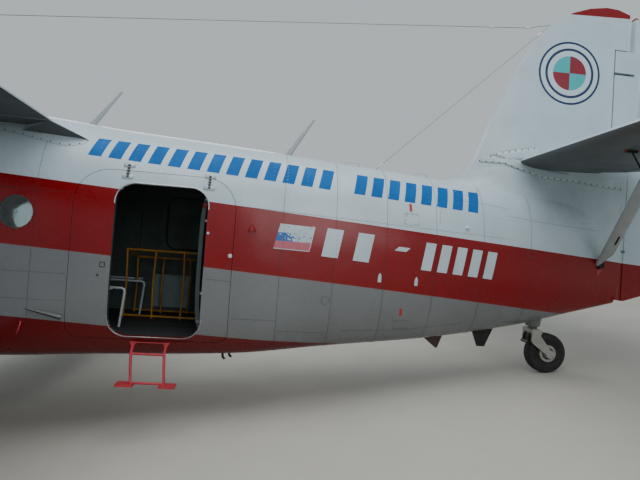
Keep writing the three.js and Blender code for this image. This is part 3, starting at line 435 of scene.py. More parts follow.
def doorway(door, inset, y0, y1, steps_round=10):
    low, high = door["low"] - inset, door["high"] - inset
    x0, x1, z0, z1 = door["x0"] + inset, door["x1"] - inset, door["z0"] + inset, door["z1"] - inset
    outline = []
    for cx, cz, radius, start in ((x1 - low, z0 + low, low, -90), (x1 - high, z1 - high, high, 0),
                                  (x0 + high, z1 - high, high, 90), (x0 + low, z0 + low, low, 180)):
        for k in range(steps_round + 1):
            turn = math.radians(start + 90 * k / steps_round)
            outline.append((cx + radius * math.cos(turn), cz + radius * math.sin(turn)))
    return Form().prism(outline, y0, y1), outline


def rivet_heads(form, spots, radius):
    """Low domes on the skin, each at a (point, normal) pair."""
    for point, normal in spots:
        side = normal.orthogonal().normalized()
        up = normal.cross(side)
        turns = [math.pi * k / 3 for k in range(6)]
        ring = [point + (side * math.cos(t) + up * math.sin(t)) * radius for t in turns]
        crown = [point + normal * radius * .4 + (side * math.cos(t) + up * math.sin(t)) * radius * .5
                 for t in turns]
        faces = [[k, (k + 1) % 6, 6 + (k + 1) % 6, 6 + k] for k in range(6)] + [list(range(6, 12))]
        form.add(ring + crown, faces)
    return form


# Wing sections
def half_thickness(share):
    return 5 * (.2969 * math.sqrt(share) - .126 * share - .3516 * share ** 2 + .2843 * share ** 3
                - .1015 * share ** 4)


def wing_point(wing, share, over, y, chord=None, x0=None, thick=None, sag=0):
    """A point of the section at y: share along the chord, on top (over 1) or below (over -1)."""
    chord = chord or wing["chord"]
    x0 = wing["x"] if x0 is None else x0
    thick = wing["thick"] if thick is None else thick
    x = x0 + share * chord
    half = thick * half_thickness(share) + .0015 * share
    return Vector((x, y, wing["z"] - math.tan(math.radians(wing["incidence"])) * (x - wing["x"])
                   + chord * (4 * wing["camber"] * share * (1 - share) + over * half) - over * sag))


def section_shares(count, start=0):
    return [start + (1 - start) * (1 - math.cos(math.pi * i / count)) / 2 for i in range(count + 1)]


TIP_LENGTH = .42


def tip_shares(wing, y):
    """Chord and thickness shares: 1 inboard, easing down over the rounded tip."""
    inboard = min(1, max(0, (wing["y1"] - y) / TIP_LENGTH))
    ease = math.sqrt(max(0, 1 - (1 - inboard) ** 2))
    return .6 + .4 * ease, .3 + .7 * ease


def rib_sag(y, share):
    """How far the fabric has sunk at y, none over the stiff leading edge."""
    bay = (y / sizes().rib_pitch) % 1
    slack = min(1, max(0, (share - .1) / .08)) * min(1, (1 - share) / .1)
    return sizes().fabric_sag * math.sin(math.pi * bay) ** 2 * slack


def span_steps(y0, y1, per_rib=4):
    pitch = sizes().rib_pitch / per_rib
    inner = [k * pitch for k in range(math.ceil(y0 / pitch), math.floor(y1 / pitch) + 1)]
    return [y0] + [y for y in inner if y0 + .01 < y < y1 - .01] + [y1]


def wing_ring(wing, y, count=22):
    chord_share, thick_share = tip_shares(wing, y)
    chord = wing["chord"] * chord_share
    x0 = wing["x"] + (wing["chord"] - chord) * .4
    shares = section_shares(count)
    spots = [(s, 1) for s in reversed(shares)] + [(s, -1) for s in shares[1:]]
    return [wing_point(wing, s, over, y, chord, x0, wing["thick"] * thick_share, rib_sag(y, s))
            for s, over in spots]


def wing_loft(wing):
    tips = [wing["y1"] - TIP_LENGTH * t for t in (.5, .3, .16, .07, .02, 0)]
    ys = [y for y in span_steps(wing["y0"], tips[0]) if y < tips[0] - .01] + tips
    return Form().loft([wing_ring(wing, y) for y in ys])


def hinge_of(wing, share):
    top, low = wing_point(wing, share, 1, 0), wing_point(wing, share, -1, 0)
    return Vector((top.x, 0, (top.z + low.z) / 2)), (top.z - low.z) / 2


def raise_outboard(piece, wing):
    """Shears a panel upward by its dihedral."""
    rise = math.tan(math.radians(wing["dihedral"]))
    shear = Matrix(((1, 0, 0, 0), (0, 1, 0, 0), (0, rise, 1, -rise * wing["y0"]), (0, 0, 0, 1)))
    piece.data.transform(shear)
    return piece


def hinged_surface(wing, y0, y1, share, fittings):
    """A control surface: skins aft of the hinge, closed in front by a round nose."""
    hinge, radius = hinge_of(wing, share)
    shares = [share + (1 - share) * k / 9 for k in range(10)]
    rings = []
    for y in span_steps(y0 + SWING_GAP, y1 - SWING_GAP):
        chord_share, thick_share = tip_shares(wing, y)
        chord = wing["chord"] * chord_share
        x0 = wing["x"] + (wing["chord"] - chord) * .4
        skins = {}
        for over in (1, -1):
            skins[over] = [wing_point(wing,
                                      (wing["x"] + s * wing["chord"] - x0) / chord if chord_share > .999
                                      else min(1,
                                               (hinge.x + (s - share) / (1 - share)
                                                * (x0 + chord - hinge.x) - x0) / chord), over, y, chord,
                                      x0, wing["thick"] * thick_share,
                                      rib_sag(y, .5) * (s > share) * (s < 1)) for s in shares]
        nose = [hinge + Vector((-math.sin(t) * radius * thick_share, y, math.cos(t) * radius * thick_share))
                for t in (math.pi * k / 10 for k in range(1, 10))]
        rings.append(skins[1][::-1] + nose + skins[-1])
    body = Form().loft(rings).raw("surface")
    notches = Form()
    for y in fittings:
        notches.box((hinge.x - radius - .02, y - .015, hinge.z - .3),
                    (hinge.x + .042, y + .015, hinge.z + .3))
    return carve(body, notches)


def fixed_panel(wing, names, panel=None):
    """A wing panel with the space of its control surfaces cut out, and their hinge plates."""
    panel = panel or wing_loft(wing).raw("panel")
    plates = Form()
    for name in names:
        _, y0, y1, share, fittings = SURFACES[name]
        hinge, radius = hinge_of(wing, share)
        room = Form().box((hinge.x, y0, hinge.z - .6), (hinge.x + 2, y1, hinge.z + .6)).raw()
        cove = Form().tube([hinge + Vector((0, y0, 0)), hinge + Vector((0, y1, 0))],
                           radius + SWING_GAP + .003, 24).raw()
        carve(panel, room, cove)
        for y in fittings:
            plates.box((hinge.x - radius - .06, y - .005, hinge.z - .018),
                       (hinge.x + .018, y + .005, hinge.z + .018))
            plates.tube([hinge + Vector((0, y - .045, 0)), hinge + Vector((0, y + .045, 0))], .009, 12)
    return panel, plates


# Finishes
def vary(tree, shader, where, colour, rough, patch_mm, grain_mm, lift_mm=.1, tint=.86, spread=.07):
    """Slow patches in colour and sheen, and a fine grain in the surface, at real sizes."""
    patches = add(tree, "ShaderNodeTexNoise",
                  {"Vector": where, "Scale": 1000 / patch_mm, "Detail": 5, "Roughness": .6})
    grain = add(tree, "ShaderNodeTexNoise", {"Vector": where, "Scale": 1000 / grain_mm, "Detail": 2})
    dull = add(tree, "ShaderNodeMapRange", {"Value": patches.outputs[0], 1: .35, 2: .7, 3: 1, 4: 0})
    shade = add(tree, "ShaderNodeMix", {0: dull.outputs[0], 6: colour, 7: (tint, tint, tint, 1)},
                data_type="RGBA", blend_type="MULTIPLY")
    sheen = add(tree, "ShaderNodeMapRange",
                {"Value": patches.outputs[0], 1: .3, 2: .7, 3: rough + spread, 4: rough - spread})
    bump = add(tree, "ShaderNodeBump",
               {"Height": grain.outputs[0], "Strength": .6, "Distance": lift_mm / 1000})
    tree.links.new(shade.outputs[2], shader.inputs["Base Color"])
    tree.links.new(sheen.outputs[0], shader.inputs["Roughness"])
    tree.links.new(bump.outputs[0], shader.inputs["Normal"])
    return shade, bump


def edge_line(tree, spot, start, slope, curve=0):
    """Height above a livery edge: z - (start + slope * x + curve * x * x)."""
    square = add(tree, "ShaderNodeMath", {0: spot.outputs[0], 1: spot.outputs[0]}, operation="MULTIPLY")
    bend = add(tree, "ShaderNodeMath", {0: square.outputs[0], 1: curve, 2: start}, operation="MULTIPLY_ADD")
    line = add(tree, "ShaderNodeMath", {0: spot.outputs[0], 1: slope, 2: bend.outputs[0]},
               operation="MULTIPLY_ADD")
    return add(tree, "ShaderNodeMath", {0: spot.outputs[2], 1: line.outputs[0]}, operation="SUBTRACT")


def band(tree, height, below, above):
    """One colour below a masked edge and another above it, with 3 mm of blur as sprayed paint has."""
    mask = add(tree, "ShaderNodeMapRange", {"Value": height.outputs[0], 1: -.0015, 2: .0015})
    return add(tree, "ShaderNodeMix", {0: mask.outputs[0], 6: below, 7: above}, data_type="RGBA").outputs[2]


# Gloss enamel on aluminium sheet, sprayed in bands: hard clear reflections that bend over the
# slightly dished sheets, with random duller patches, and painted shade that darkens the belly's red below the
# grey band
def banded_enamel(tree, shader, where):
    p = paint()
    spot = add(tree, "ShaderNodeSeparateXYZ", {0: where})
    # Below the lowest edge the belly is the crimson darkened to 62 %: painted shade under the fuselage
    low = band(tree, edge_line(tree, spot, -.6774, -.00754, -.0035),
               tuple(c * .62 for c in p.red[:3]) + (1,), p.grey)
    mid = band(tree, edge_line(tree, spot, -.0888, .00525, -.0045), low, p.red)
    top = band(tree, edge_line(tree, spot, .7376, -.0587), mid, p.white)
    tip = band(tree, edge_line(tree, spot, 2.3845, .04545), top, p.red)
    _, bump = vary(tree, shader, where, tip, rough=.27, patch_mm=420, grain_mm=3, lift_mm=.05, tint=.88,
                   spread=.06)
    dished = add(tree, "ShaderNodeTexNoise", {"Vector": where, "Scale": 2.6, "Detail": 1})
    sheet = add(tree, "ShaderNodeBump",
                {"Height": dished.outputs[0], "Strength": .5, "Distance": .012, "Normal": bump.outputs[0]})
    tree.links.new(sheet.outputs[0], shader.inputs["Normal"])
    shader.inputs["IOR"].default_value = 1.42
    shader.inputs["Coat Weight"].default_value = .1
    shader.inputs["Coat Roughness"].default_value = .12


# The fin's enamel carries a plain quartered roundel in two colours on a thin dark ring
def roundel_enamel(tree, shader, where):
    banded_enamel(tree, shader, where)
    p = paint()
    navy = linear("#1d3050")
    base = shader.inputs["Base Color"].links[0].from_socket
    spot = add(tree, "ShaderNodeSeparateXYZ", {0: where})
    across = add(tree, "ShaderNodeMath", {0: spot.outputs[0], 1: ROUNDEL["x"]}, operation="SUBTRACT")
    up = add(tree, "ShaderNodeMath", {0: spot.outputs[2], 1: ROUNDEL["z"]}, operation="SUBTRACT")
    flat = add(tree, "ShaderNodeCombineXYZ", {0: across.outputs[0], 1: up.outputs[0]})
    reach = add(tree, "ShaderNodeVectorMath", {0: flat.outputs[0]}, operation="LENGTH")
    side = add(tree, "ShaderNodeMath", {0: across.outputs[0], 1: up.outputs[0]}, operation="MULTIPLY")
    quarter = add(tree, "ShaderNodeMath", {0: side.outputs[0], 1: 0}, operation="GREATER_THAN")
    disc = add(tree, "ShaderNodeMix", {0: quarter.outputs[0], 6: p.teal, 7: linear("#7d2331")},
               data_type="RGBA").outputs[2]
    for radius, colour in zip(ROUNDEL["radii"], (navy, p.white, navy, p.white, disc)):
        inside = add(tree, "ShaderNodeMath", {0: reach.outputs["Value"], 1: radius}, operation="LESS_THAN")
        base = add(tree, "ShaderNodeMix", {0: inside.outputs[0], 6: base, 7: colour},
                   data_type="RGBA").outputs[2]
    tree.links.new(base, shader.inputs["Base Color"])


def fabric(tree, shader, where, colour):
    # Doped cotton over ribs. Its threads lie 0.8 mm apart and are drawn at 6 mm, so they show at all;
    # taped ribs stand up as faint lines, and the dope has a soft sheen.
    _, bump = vary(tree, shader, where, colour, rough=.42, patch_mm=600, grain_mm=9, lift_mm=.08)
    threads = []
    for axis in ("X", "Y"):
        threads.append(add(tree, "ShaderNodeTexWave", {"Vector": where, "Scale": 1000 / 6 / 6.283},
                           bands_direction=axis))
    weave = add(tree, "ShaderNodeMath", {0: threads[0].outputs[1], 1: threads[1].outputs[1]},
                operation="MULTIPLY")
    cloth = add(tree, "ShaderNodeBump",
                {"Height": weave.outputs[0], "Strength": .25, "Distance": .0004,
                 "Normal": bump.outputs[0]})
    tree.links.new(cloth.outputs[0], shader.inputs["Normal"])


def white_fabric(tree, shader, where):
    fabric(tree, shader, where, paint().white)


# Doped fabric under the wings and tailplane, in the underside grey that holds painted shade
def grey_fabric_with_shade(tree, shader, where):
    fabric(tree, shader, where, paint().underside_with_shade)


# Satin zinc primer on pressed frames: dull, with scuffs from boots and cargo
def cabin_primer(tree, shader, where):
    vary(tree, shader, where, paint().interior, rough=.55, patch_mm=160, grain_mm=5, lift_mm=.12,
         tint=.72, spread=.12)


# Sprayed white gloss on small fittings, thinner than on the sheets, so it looks harder
def white_enamel(tree, shader, where):
    vary(tree, shader, where, paint().white, rough=.3, patch_mm=200, grain_mm=3)


def grey_enamel(tree, shader, where):
    vary(tree, shader, where, linear("#9aa1a4"), rough=.36, patch_mm=150, grain_mm=3)


def blue_enamel(tree, shader, where):
    vary(tree, shader, where, paint().blue, rough=.55, patch_mm=260, grain_mm=4, tint=.8)
    shader.inputs["Specular IOR Level"].default_value = .12


def red_enamel(tree, shader, where):
    vary(tree, shader, where, paint().ladder, rough=.42, patch_mm=90, grain_mm=4, tint=.7)


def yellow_enamel(tree, shader, where):
    vary(tree, shader, where, paint().yellow, rough=.42, patch_mm=80, grain_mm=4, tint=.62)


# Oil-stained non-slip ply underfoot, grain 12 mm wide, long along the cabin; its dark grey is partly painted
# shade of the dim cabin
def floor_ply(tree, shader, where):
    long_grain = add(tree, "ShaderNodeMapping", {"Vector": where, "Scale": (.12, 1, 1)})
    vary(tree, shader, long_grain.outputs[0], linear("#2c3134"), rough=.62, patch_mm=120, grain_mm=12,
         lift_mm=.3, tint=.6, spread=.15)


# Vulcanised black rubber with road dust in its pores: almost no shine
def black_rubber(tree, shader, where):
    vary(tree, shader, where, linear("#1c1c1c"), rough=.8, patch_mm=70, grain_mm=3, lift_mm=.25, tint=.6,
         spread=.08)


# Dark sealant and painted shade: the shadow in a skin joint as a thin matt line, and the shade under the wall
# ledge
def sealant_and_shade(tree, shader, where):
    vary(tree, shader, where, linear("#22262a"), rough=.75, patch_mm=60, grain_mm=4)


# Bare aluminium, brushed by handling: a broken grey shine
def bare_aluminium(tree, shader, where):
    vary(tree, shader, where, linear("#b4b6b8"), rough=.36, patch_mm=60, grain_mm=2, lift_mm=.06, tint=.8,
         spread=.1)
    shader.inputs["Metallic"].default_value = 1


# Oiled machined steel: darker than the aluminium and more mirror-like
def oiled_steel(tree, shader, where):
    vary(tree, shader, where, linear("#6f6e6b"), rough=.32, patch_mm=40, grain_mm=2, lift_mm=.05, tint=.7,
         spread=.1)
    shader.inputs["Metallic"].default_value = 1


# Sand-cast crankcase with the cast skin's 1 mm grit
def cast_casing(tree, shader, where):
    vary(tree, shader, where, linear("#5f6468"), rough=.55, patch_mm=60, grain_mm=2, lift_mm=.5, tint=.75)
    shader.inputs["Metallic"].default_value = .6


# Cylinder steel, blackened against rust: fins read as dark bright-edged lines
def blackened_steel(tree, shader, where):
    vary(tree, shader, where, linear("#2b2a2a"), rough=.45, patch_mm=50, grain_mm=2, lift_mm=.2, tint=.6)
    shader.inputs["Metallic"].default_value = .7


# Exhaust steel, blued and browned by heat in patches the size of a hand
def burnt_steel(tree, shader, where):
    patches = add(tree, "ShaderNodeTexNoise", {"Vector": where, "Scale": 12, "Detail": 4})
    ramp = add(tree, "ShaderNodeValToRGB", {0: patches.outputs[0]})
    ramp.color_ramp.elements[0].color = linear("#5b3a26")
    ramp.color_ramp.elements[1].color = linear("#565a66")
    vary(tree, shader, where, ramp.outputs[0], rough=.48, patch_mm=80, grain_mm=2, lift_mm=.15, tint=.6,
         spread=.14)
    shader.inputs["Metallic"].default_value = .85


# Cast acrylic, blown to shape: clear, faintly grey, with fine hazing
def clear_acrylic(tree, shader, where):
    haze = add(tree, "ShaderNodeTexNoise", {"Vector": where, "Scale": 14, "Detail": 5})
    sheen = add(tree, "ShaderNodeMapRange", {"Value": haze.outputs[0], 1: .3, 2: .7, 3: .03, 4: .1})
    tree.links.new(sheen.outputs[0], shader.inputs["Roughness"])
    shader.inputs["Base Color"].default_value = linear("#cfdcdc")
    shader.inputs["Transmission Weight"].default_value = 1
    shader.inputs["IOR"].default_value = 1.49


# Laminated blade under black enamel, its last 130 mm yellow, dulled by grit along the edges
def blade_enamel(tree, shader, where):
    spot = add(tree, "ShaderNodeSeparateXYZ", {0: where})
    disc = add(tree, "ShaderNodeCombineXYZ", {0: spot.outputs[1], 1: spot.outputs[2]})
    reach = add(tree, "ShaderNodeVectorMath", {0: disc.outputs[0]}, operation="LENGTH")
    tip = add(tree, "ShaderNodeMath", {0: reach.outputs["Value"], 1: 1.545}, operation="GREATER_THAN")
    colour = add(tree, "ShaderNodeMix", {0: tip.outputs[0], 6: linear("#1d1e20"), 7: linear("#d9a520")},
                 data_type="RGBA")
    vary(tree, shader, where, colour.outputs[2], rough=.38, patch_mm=90, grain_mm=3, tint=.75)


# Proofed cotton duck, 1 mm threads drawn at 4 mm: matt, pale and creased
def cotton_duck(tree, shader, where):
    vary(tree, shader, where, linear("#6f736e"), rough=.9, patch_mm=60, grain_mm=4, lift_mm=.6, tint=.65)
    shader.inputs["Sheen Weight"].default_value = .25


# Woven wool seat cloth over foam, 1.5 mm threads drawn at 5 mm
def wool_cloth(tree, shader, where):
    _, bump = vary(tree, shader, where, linear("#2d3a35"), rough=.9, patch_mm=90, grain_mm=5, lift_mm=.5,
                   tint=.7)
    threads = add(tree, "ShaderNodeTexVoronoi", {"Vector": where, "Scale": 200})
    weave = add(tree, "ShaderNodeBump",
                {"Height": threads.outputs[0], "Strength": .5, "Distance": .0008,
                 "Normal": bump.outputs[0]})
    tree.links.new(weave.outputs[0], shader.inputs["Normal"])
    shader.inputs["Sheen Weight"].default_value = .4


# Crackle lacquer of the instrument panel: black wrinkles 2 mm across
def crackle_lacquer(tree, shader, where):
    vary(tree, shader, where, linear("#1a1b1c"), rough=.6, patch_mm=90, grain_mm=2, lift_mm=.5, tint=.75)


# A printed film worn through to the red below: white, a broken blue bar and a pale red bar
def worn_decal(tree, shader, where):
    p = paint()
    spot = add(tree, "ShaderNodeSeparateXYZ", {0: where})
    chips = add(tree, "ShaderNodeTexNoise", {"Vector": where, "Scale": 45, "Detail": 3})
    fade = add(tree, "ShaderNodeMapRange", {"Value": spot.outputs[0], 1: 7.78, 2: 7.95, 3: .72, 4: .36})
    gone = add(tree, "ShaderNodeMath", {0: chips.outputs[0], 1: fade.outputs[0]}, operation="GREATER_THAN")
    dirty = add(tree, "ShaderNodeMath", {0: chips.outputs[0], 1: .62}, operation="GREATER_THAN")
    blue = add(tree, "ShaderNodeMix", {0: gone.outputs[0], 6: p.blue, 7: p.white}, data_type="RGBA")
    white = add(tree, "ShaderNodeMix", {0: dirty.outputs[0], 6: p.white, 7: linear("#8b959b")},
                data_type="RGBA")
    low = band(tree, edge_line(tree, spot, .01, 0), linear("#b3606c"), blue.outputs[2])
    top = band(tree, edge_line(tree, spot, .09, 0), low, white.outputs[2])
    vary(tree, shader, where, top, rough=.42, patch_mm=60, grain_mm=3, tint=.82)


# Glazed porcelain of the wire insulators: warm white and wet-looking
def glazed_porcelain(tree, shader, where):
    vary(tree, shader, where, linear("#d8d2c4"), rough=.15, patch_mm=30, grain_mm=4, tint=.85, spread=.04)


# Pale green locker paint, brush marked and rubbed at the edges
def panel_paint(tree, shader, where):
    vary(tree, shader, where, linear("#75898a"), rough=.5, patch_mm=120, grain_mm=6, tint=.8, spread=.1)


# Light grey stoved enamel on seat tubes: even, with a soft shine
def light_enamel(tree, shader, where):
    vary(tree, shader, where, linear("#a9b4b8"), rough=.35, patch_mm=90, grain_mm=4, tint=.85)


# Old grey rubber of the door seals, close in tone to the primer beside it
def dull_rubber(tree, shader, where):
    vary(tree, shader, where, linear("#27302e"), rough=.85, patch_mm=70, grain_mm=3, tint=.8)


# Sun-bleached red on the ladder, chalky and scraped by boots
def ladder_enamel(tree, shader, where):
    vary(tree, shader, where, paint().ladder, rough=.5, patch_mm=60, grain_mm=4, tint=.75, spread=.12)


# Warm pale grey on the tail fork, scuffed by stones
def fork_enamel(tree, shader, where):
    vary(tree, shader, where, linear("#93918b"), rough=.5, patch_mm=70, grain_mm=4, tint=.8, spread=.1)


# Red lacquer on a blade aerial, darkened almost to black as painted shade under the belly
def red_lacquer_with_shade(tree, shader, where):
    vary(tree, shader, where, linear("#330306"), rough=.4, patch_mm=60, grain_mm=3, tint=.8)


# Dyed green lamp glass, smooth and deep
def green_glass(tree, shader, where):
    vary(tree, shader, where, linear("#0c6b3c"), rough=.1, patch_mm=40, grain_mm=3, spread=.03)


def finish(recipe, place=AIRFRAME):
    """The material of a recipe, reading positions in the level airframe, or in a door's own place."""
    label = recipe.__name__ + ("" if place is AIRFRAME else "_on_door")
    made = bpy.data.materials.get(label)
    if made:
        return made
    made = bpy.data.materials.new(label)
    made.use_nodes = True
    tree = made.node_tree
    tree.nodes.clear()
    shader = add(tree, "ShaderNodeBsdfPrincipled")
    add(tree, "ShaderNodeOutputMaterial", {"Surface": shader.outputs[0]})
    back = place.inverted()
    coords = add(tree, "ShaderNodeTexCoord")
    level = add(tree, "ShaderNodeMapping",
                {"Vector": coords.outputs["Object"], "Location": back.to_translation(),
                 "Rotation": back.to_euler()})
    recipe(tree, shader, level.outputs[0])
    return made


def finish_node(name, recipe):
    """Gives a CAD node that stays in view its material."""
    target = bpy.data.objects[name]
    target.data.materials.clear()
    target.data.materials.append(finish(recipe))


# Stage
CAMERA = dict(at=(7.742, -5.397, -.026), yaw=5.269, pitch=.879, roll=4.180, lens=27.485)


class BIPLANE_OT_stage(bpy.types.Operator):
    """Pale floor, soft lights and the camera"""
    bl_idname = "biplane.stage"
    bl_label = "Stage"

    def execute(self, context):
        scene = context.scene
        look = scene.biplane_stage
        scene.world = scene.world or bpy.data.worlds.new("studio")
        scene.world.use_nodes = True
        background = scene.world.node_tree.nodes["Background"]
        background.inputs[0].default_value = linear("#c3cace")
        background.inputs[1].default_value = look.sky
        ground = Form().add([(-60, -60, 0), (60, -60, 0), (60, 60, 0), (-60, 60, 0)],
                            [(0, 1, 2, 3)]).raw("floor")
        pale = bpy.data.materials.new("rendered_concrete")
        pale.use_nodes = True
        tree = pale.node_tree
        shader = tree.nodes["Principled BSDF"]
        coords = add(tree, "ShaderNodeTexCoord")
        vary(tree, shader, coords.outputs["Object"], look.floor, rough=.8, patch_mm=900, grain_mm=8,
             lift_mm=.4, tint=.93)
        ground.data.materials.append(pale)
        self.softbox("overhead", (2, -3, 11), (1, 0, 0), 10, look.key)
        self.softbox("beside", (6, -13, 5), (1.5, 0, 1.5), 7, look.side)
        self.softbox("far_side", (-2, 13, 6), (0, 0, 1.5), 8, look.side)
        self.camera(scene)
        return {"FINISHED"}

    @staticmethod
    def softbox(name, at, towards, size, power):
        light = bpy.data.lights.new(name, "AREA")
        light.size = size
        light.energy = power
        lamp = bpy.data.objects.new(name, light)
        lamp.location = at
        lamp.rotation_euler = (Vector(towards) - Vector(at)).to_track_quat("-Z", "Y").to_euler()
        bpy.context.scene.collection.objects.link(lamp)

    @staticmethod
    def camera(scene):
        yaw, pitch, roll = [math.radians(CAMERA[k]) for k in ("yaw", "pitch", "roll")]
        ahead = Vector((math.sin(yaw) * math.cos(pitch), math.cos(yaw) * math.cos(pitch), math.sin(pitch)))
        right = ahead.cross(Vector((0, 0, 1))).normalized()
        up = right.cross(ahead)
        turned_right = right * math.cos(roll) + up * math.sin(roll)
        turned_up = up * math.cos(roll) - right * math.sin(roll)
        turn = Matrix((turned_right, turned_up, -ahead)).transposed().to_4x4()
        lens = bpy.data.cameras.new("camera")
        lens.lens = CAMERA["lens"]
        lens.clip_end = 400
        eye = bpy.data.objects.new("camera", lens)
        eye.matrix_world = AIRFRAME @ Matrix.Translation(CAMERA["at"]) @ turn
        scene.collection.objects.link(eye)
        scene.camera = eye


# Fuselage
LAP_X = (2.7, 3.3, 4.2, 5.627, 7.805, 8.315, 8.83, 9.36, 9.9, 10.475)
LAP_Z = (.30, -.42, -.66)


class BIPLANE_OT_fuselage(bpy.types.Operator):
    """Nose, cockpit, cabin and tail cone skins"""
    bl_idname = "biplane.fuselage"
    bl_label = "Fuselage"

    def execute(self, context):
        enamel, primer = finish(banded_enamel), finish(cabin_primer)
        dress(hull_loft(NOSE_X, COCKPIT_X), "nose_skin", enamel, stands_for=["nose_section"])
        cockpit = carve(
            hull_loft(COCKPIT_X + .001, CABIN_X),
            Form().box((0, -2, SILL_Z), (9, 2, 3)),
            carve(hull_loft(COCKPIT_X + SKIN, CABIN_X + .02, SKIN),
                  Form().box((0, -2, COCKPIT_FLOOR), (9, 2, 3)), operation="INTERSECT"))
        dress(cockpit, "cockpit_skin", [enamel, primer], stands_for=["cockpit_shell"],
              pick=inside_pick)
        cabin = copied_tube()
        tools = [doorway(CARGO_DOOR, 0, -1.5, -.3)[0].raw(), doorway(EXIT_HATCH, 0, .3, 1.5)[0].raw()]
        for x in WINDOW["xs"]:
            tools.append(round_hole(x))
        carve(cabin, *tools)
        dress(cabin, "cabin_skin", [enamel, primer], stands_for=["cabin_shell"],
              pick=inside_pick)
        stern = carve(hull_loft(TAIL_X + .0003, STERN_X), rudder_front(RUDDER_FRONT + .009))
        dress(stern, "tail_cone_skin", enamel, stands_for=["tail_cone"])
        return {"FINISHED"}


def inside_pick(centre, _normal):
    """1 on the inner faces of a fuselage shell, whose outer skin is finish 0."""
    row = eased(HULL, min(STERN_X, max(NOSE_X, centre.x)))
    reach = max(abs(centre.y) / (row[1] - SKIN * .6), 0)
    upward = (centre.z - row[4]) / ((row[2] - row[4] if centre.z > row[4] else row[4] - row[3]) - SKIN * .6)
    power = row[5] if centre.z > row[4] else row[6]
    return int(reach ** power + abs(upward) ** power < 1)


def round_hole(x):
    return Form().tube([(x, -1.2, WINDOW["z"]), (x, 1.2, WINDOW["z"])], WINDOW["radius"], 48).raw()


def centre_box():
    """The upper wing's centre section, over the cabin roof."""
    rings = []
    for y in (-UPPER["y0"], UPPER["y0"]):
        shares = section_shares(22)
        spots = [(s, 1) for s in reversed(shares)] + [(s, -1) for s in shares[1:]]
        rings.append([wing_point(UPPER, s, over, y) for s, over in spots])
    over_roof = Form().box((CABIN_X + .001, -2, .5), (9, 2, 3)).raw()
    return carve(Form().loft(rings), over_roof, operation="INTERSECT")


def copied_tube():
    """The cabin's wall with its wing centre section, before doors and windows."""
    outer = carve(hull_loft(CABIN_X + .001, TAIL_X), centre_box(), operation="UNION")
    inner = hull_loft(CABIN_X - .02, TAIL_X - SKIN, SKIN).raw()
    room = Form().box((0, -2, CABIN_FLOOR - .02), (9, 2, 3)).raw()
    return carve(outer, carve(inner, room, operation="INTERSECT"))


DOOR_PLACE = (AIRFRAME @ Matrix.Translation(PAX_HINGE) @ Matrix.Rotation(-PAX_OPEN, 4, "Z")
              @ Matrix.Translation(-PAX_HINGE))


class BIPLANE_OT_doors(bpy.types.Operator):
    """Cargo door, open passenger door and exit hatch"""
    bl_idname = "biplane.doors"
    bl_label = "Doors and Hatch"

    def execute(self, context):
        enamel, primer = finish(banded_enamel), finish(cabin_primer)
        cargo = carve(copied_tube(), doorway(CARGO_DOOR, .004, -1.5, -.3)[0], operation="INTERSECT")
        carve(cargo, doorway(PAX_DOOR, 0, -1.5, -.3)[0])
        dress(cargo, "cargo_door_skin", [enamel, primer], stands_for=["cargo_door"],
              pick=inside_pick)
        arms = Form()
        for z in (.12, -.56):
            arms.box((7.145, -.86, z - .008), (7.175, -.77, z + .008)).box(
                (7.11, -.8, z - .008), (7.175, -.77, z + .008))
            arms.tube([(PAX_HINGE.x, PAX_HINGE.y, z - .04), (PAX_HINGE.x, PAX_HINGE.y, z + .04)], .009, 16)
        bevel(dress(arms, "door_hinge_arms", grey_enamel), .002)
        door = carve(copied_tube(), doorway(PAX_DOOR, .006, -1.5, -.3)[0], operation="INTERSECT")
        dress(door, "passenger_door_skin",
              [finish(banded_enamel, DOOR_PLACE), finish(cabin_primer, DOOR_PLACE)],
              body="passenger_door", stands_for=["passenger_door"],
              place=DOOR_PLACE, pick=inside_pick)
        straps = Form()
        for z in (.12, -.56):
            straps.box((7.03, -.86, z + .014), (7.1, -.77, z + .038)).box(
                (7.03, -.8, z + .014), (7.135, -.77, z + .038))
        bevel(dress(straps, "door_hinge_straps", grey_enamel, body="passenger_door", place=DOOR_PLACE), .002)
        hatch = carve(copied_tube(), doorway(EXIT_HATCH, .004, .3, 1.5)[0], operation="INTERSECT")
        dress(hatch, "exit_hatch_skin", [enamel, primer], stands_for=["exit_hatch"],
              pick=inside_pick)
        return {"FINISHED"}


# Wings and tail
class BIPLANE_OT_wings(bpy.types.Operator):
    """Wing panels, ailerons and flaps, with fabric sagging between the ribs"""
    bl_idname = "biplane.wings"
    bl_label = "Wings"

    def execute(self, context):
        for level, wing, surfaces in (("upper", UPPER, ("upper_flap", "aileron")),
                                      ("lower", LOWER, ("lower_flap",))):
            panel, plates = fixed_panel(wing, surfaces)
            self.both(f"{level}_wing", panel, wing, "airframe", wing_stands=True)
            self.both(f"{level}_hinge_plates", plates.raw(), wing, "airframe", steel=True)
            for name in surfaces:
                self.both(name, hinged_surface(*SURFACES[name]), wing, name)
        return {"FINISHED"}

    @staticmethod
    def both(name, right, wing, body, wing_stands=False, steel=False):
        raise_outboard(right, wing)
        if wing_stands:
            carve(right, hull_loft(CABIN_X - .1, TAIL_X, -.0003))
        for side, blank in (("left", mirror_twin(right)), ("right", right)):
            where = body if body == "airframe" else f"{body}_{side}"
            # Downward faces take the underside grey, which holds painted shade
            skins = finish(oiled_steel) if steel else [finish(white_fabric), finish(grey_fabric_with_shade)]
            stands = [] if steel else [f"{name}_{side}"]
            dress(blank, f"{name}_cover_{side}" if not steel else f"{name}_{side}", skins, body=where,
                  stands_for=stands,
                  pick=None if steel else lambda c, n: int(n.z < -.02))


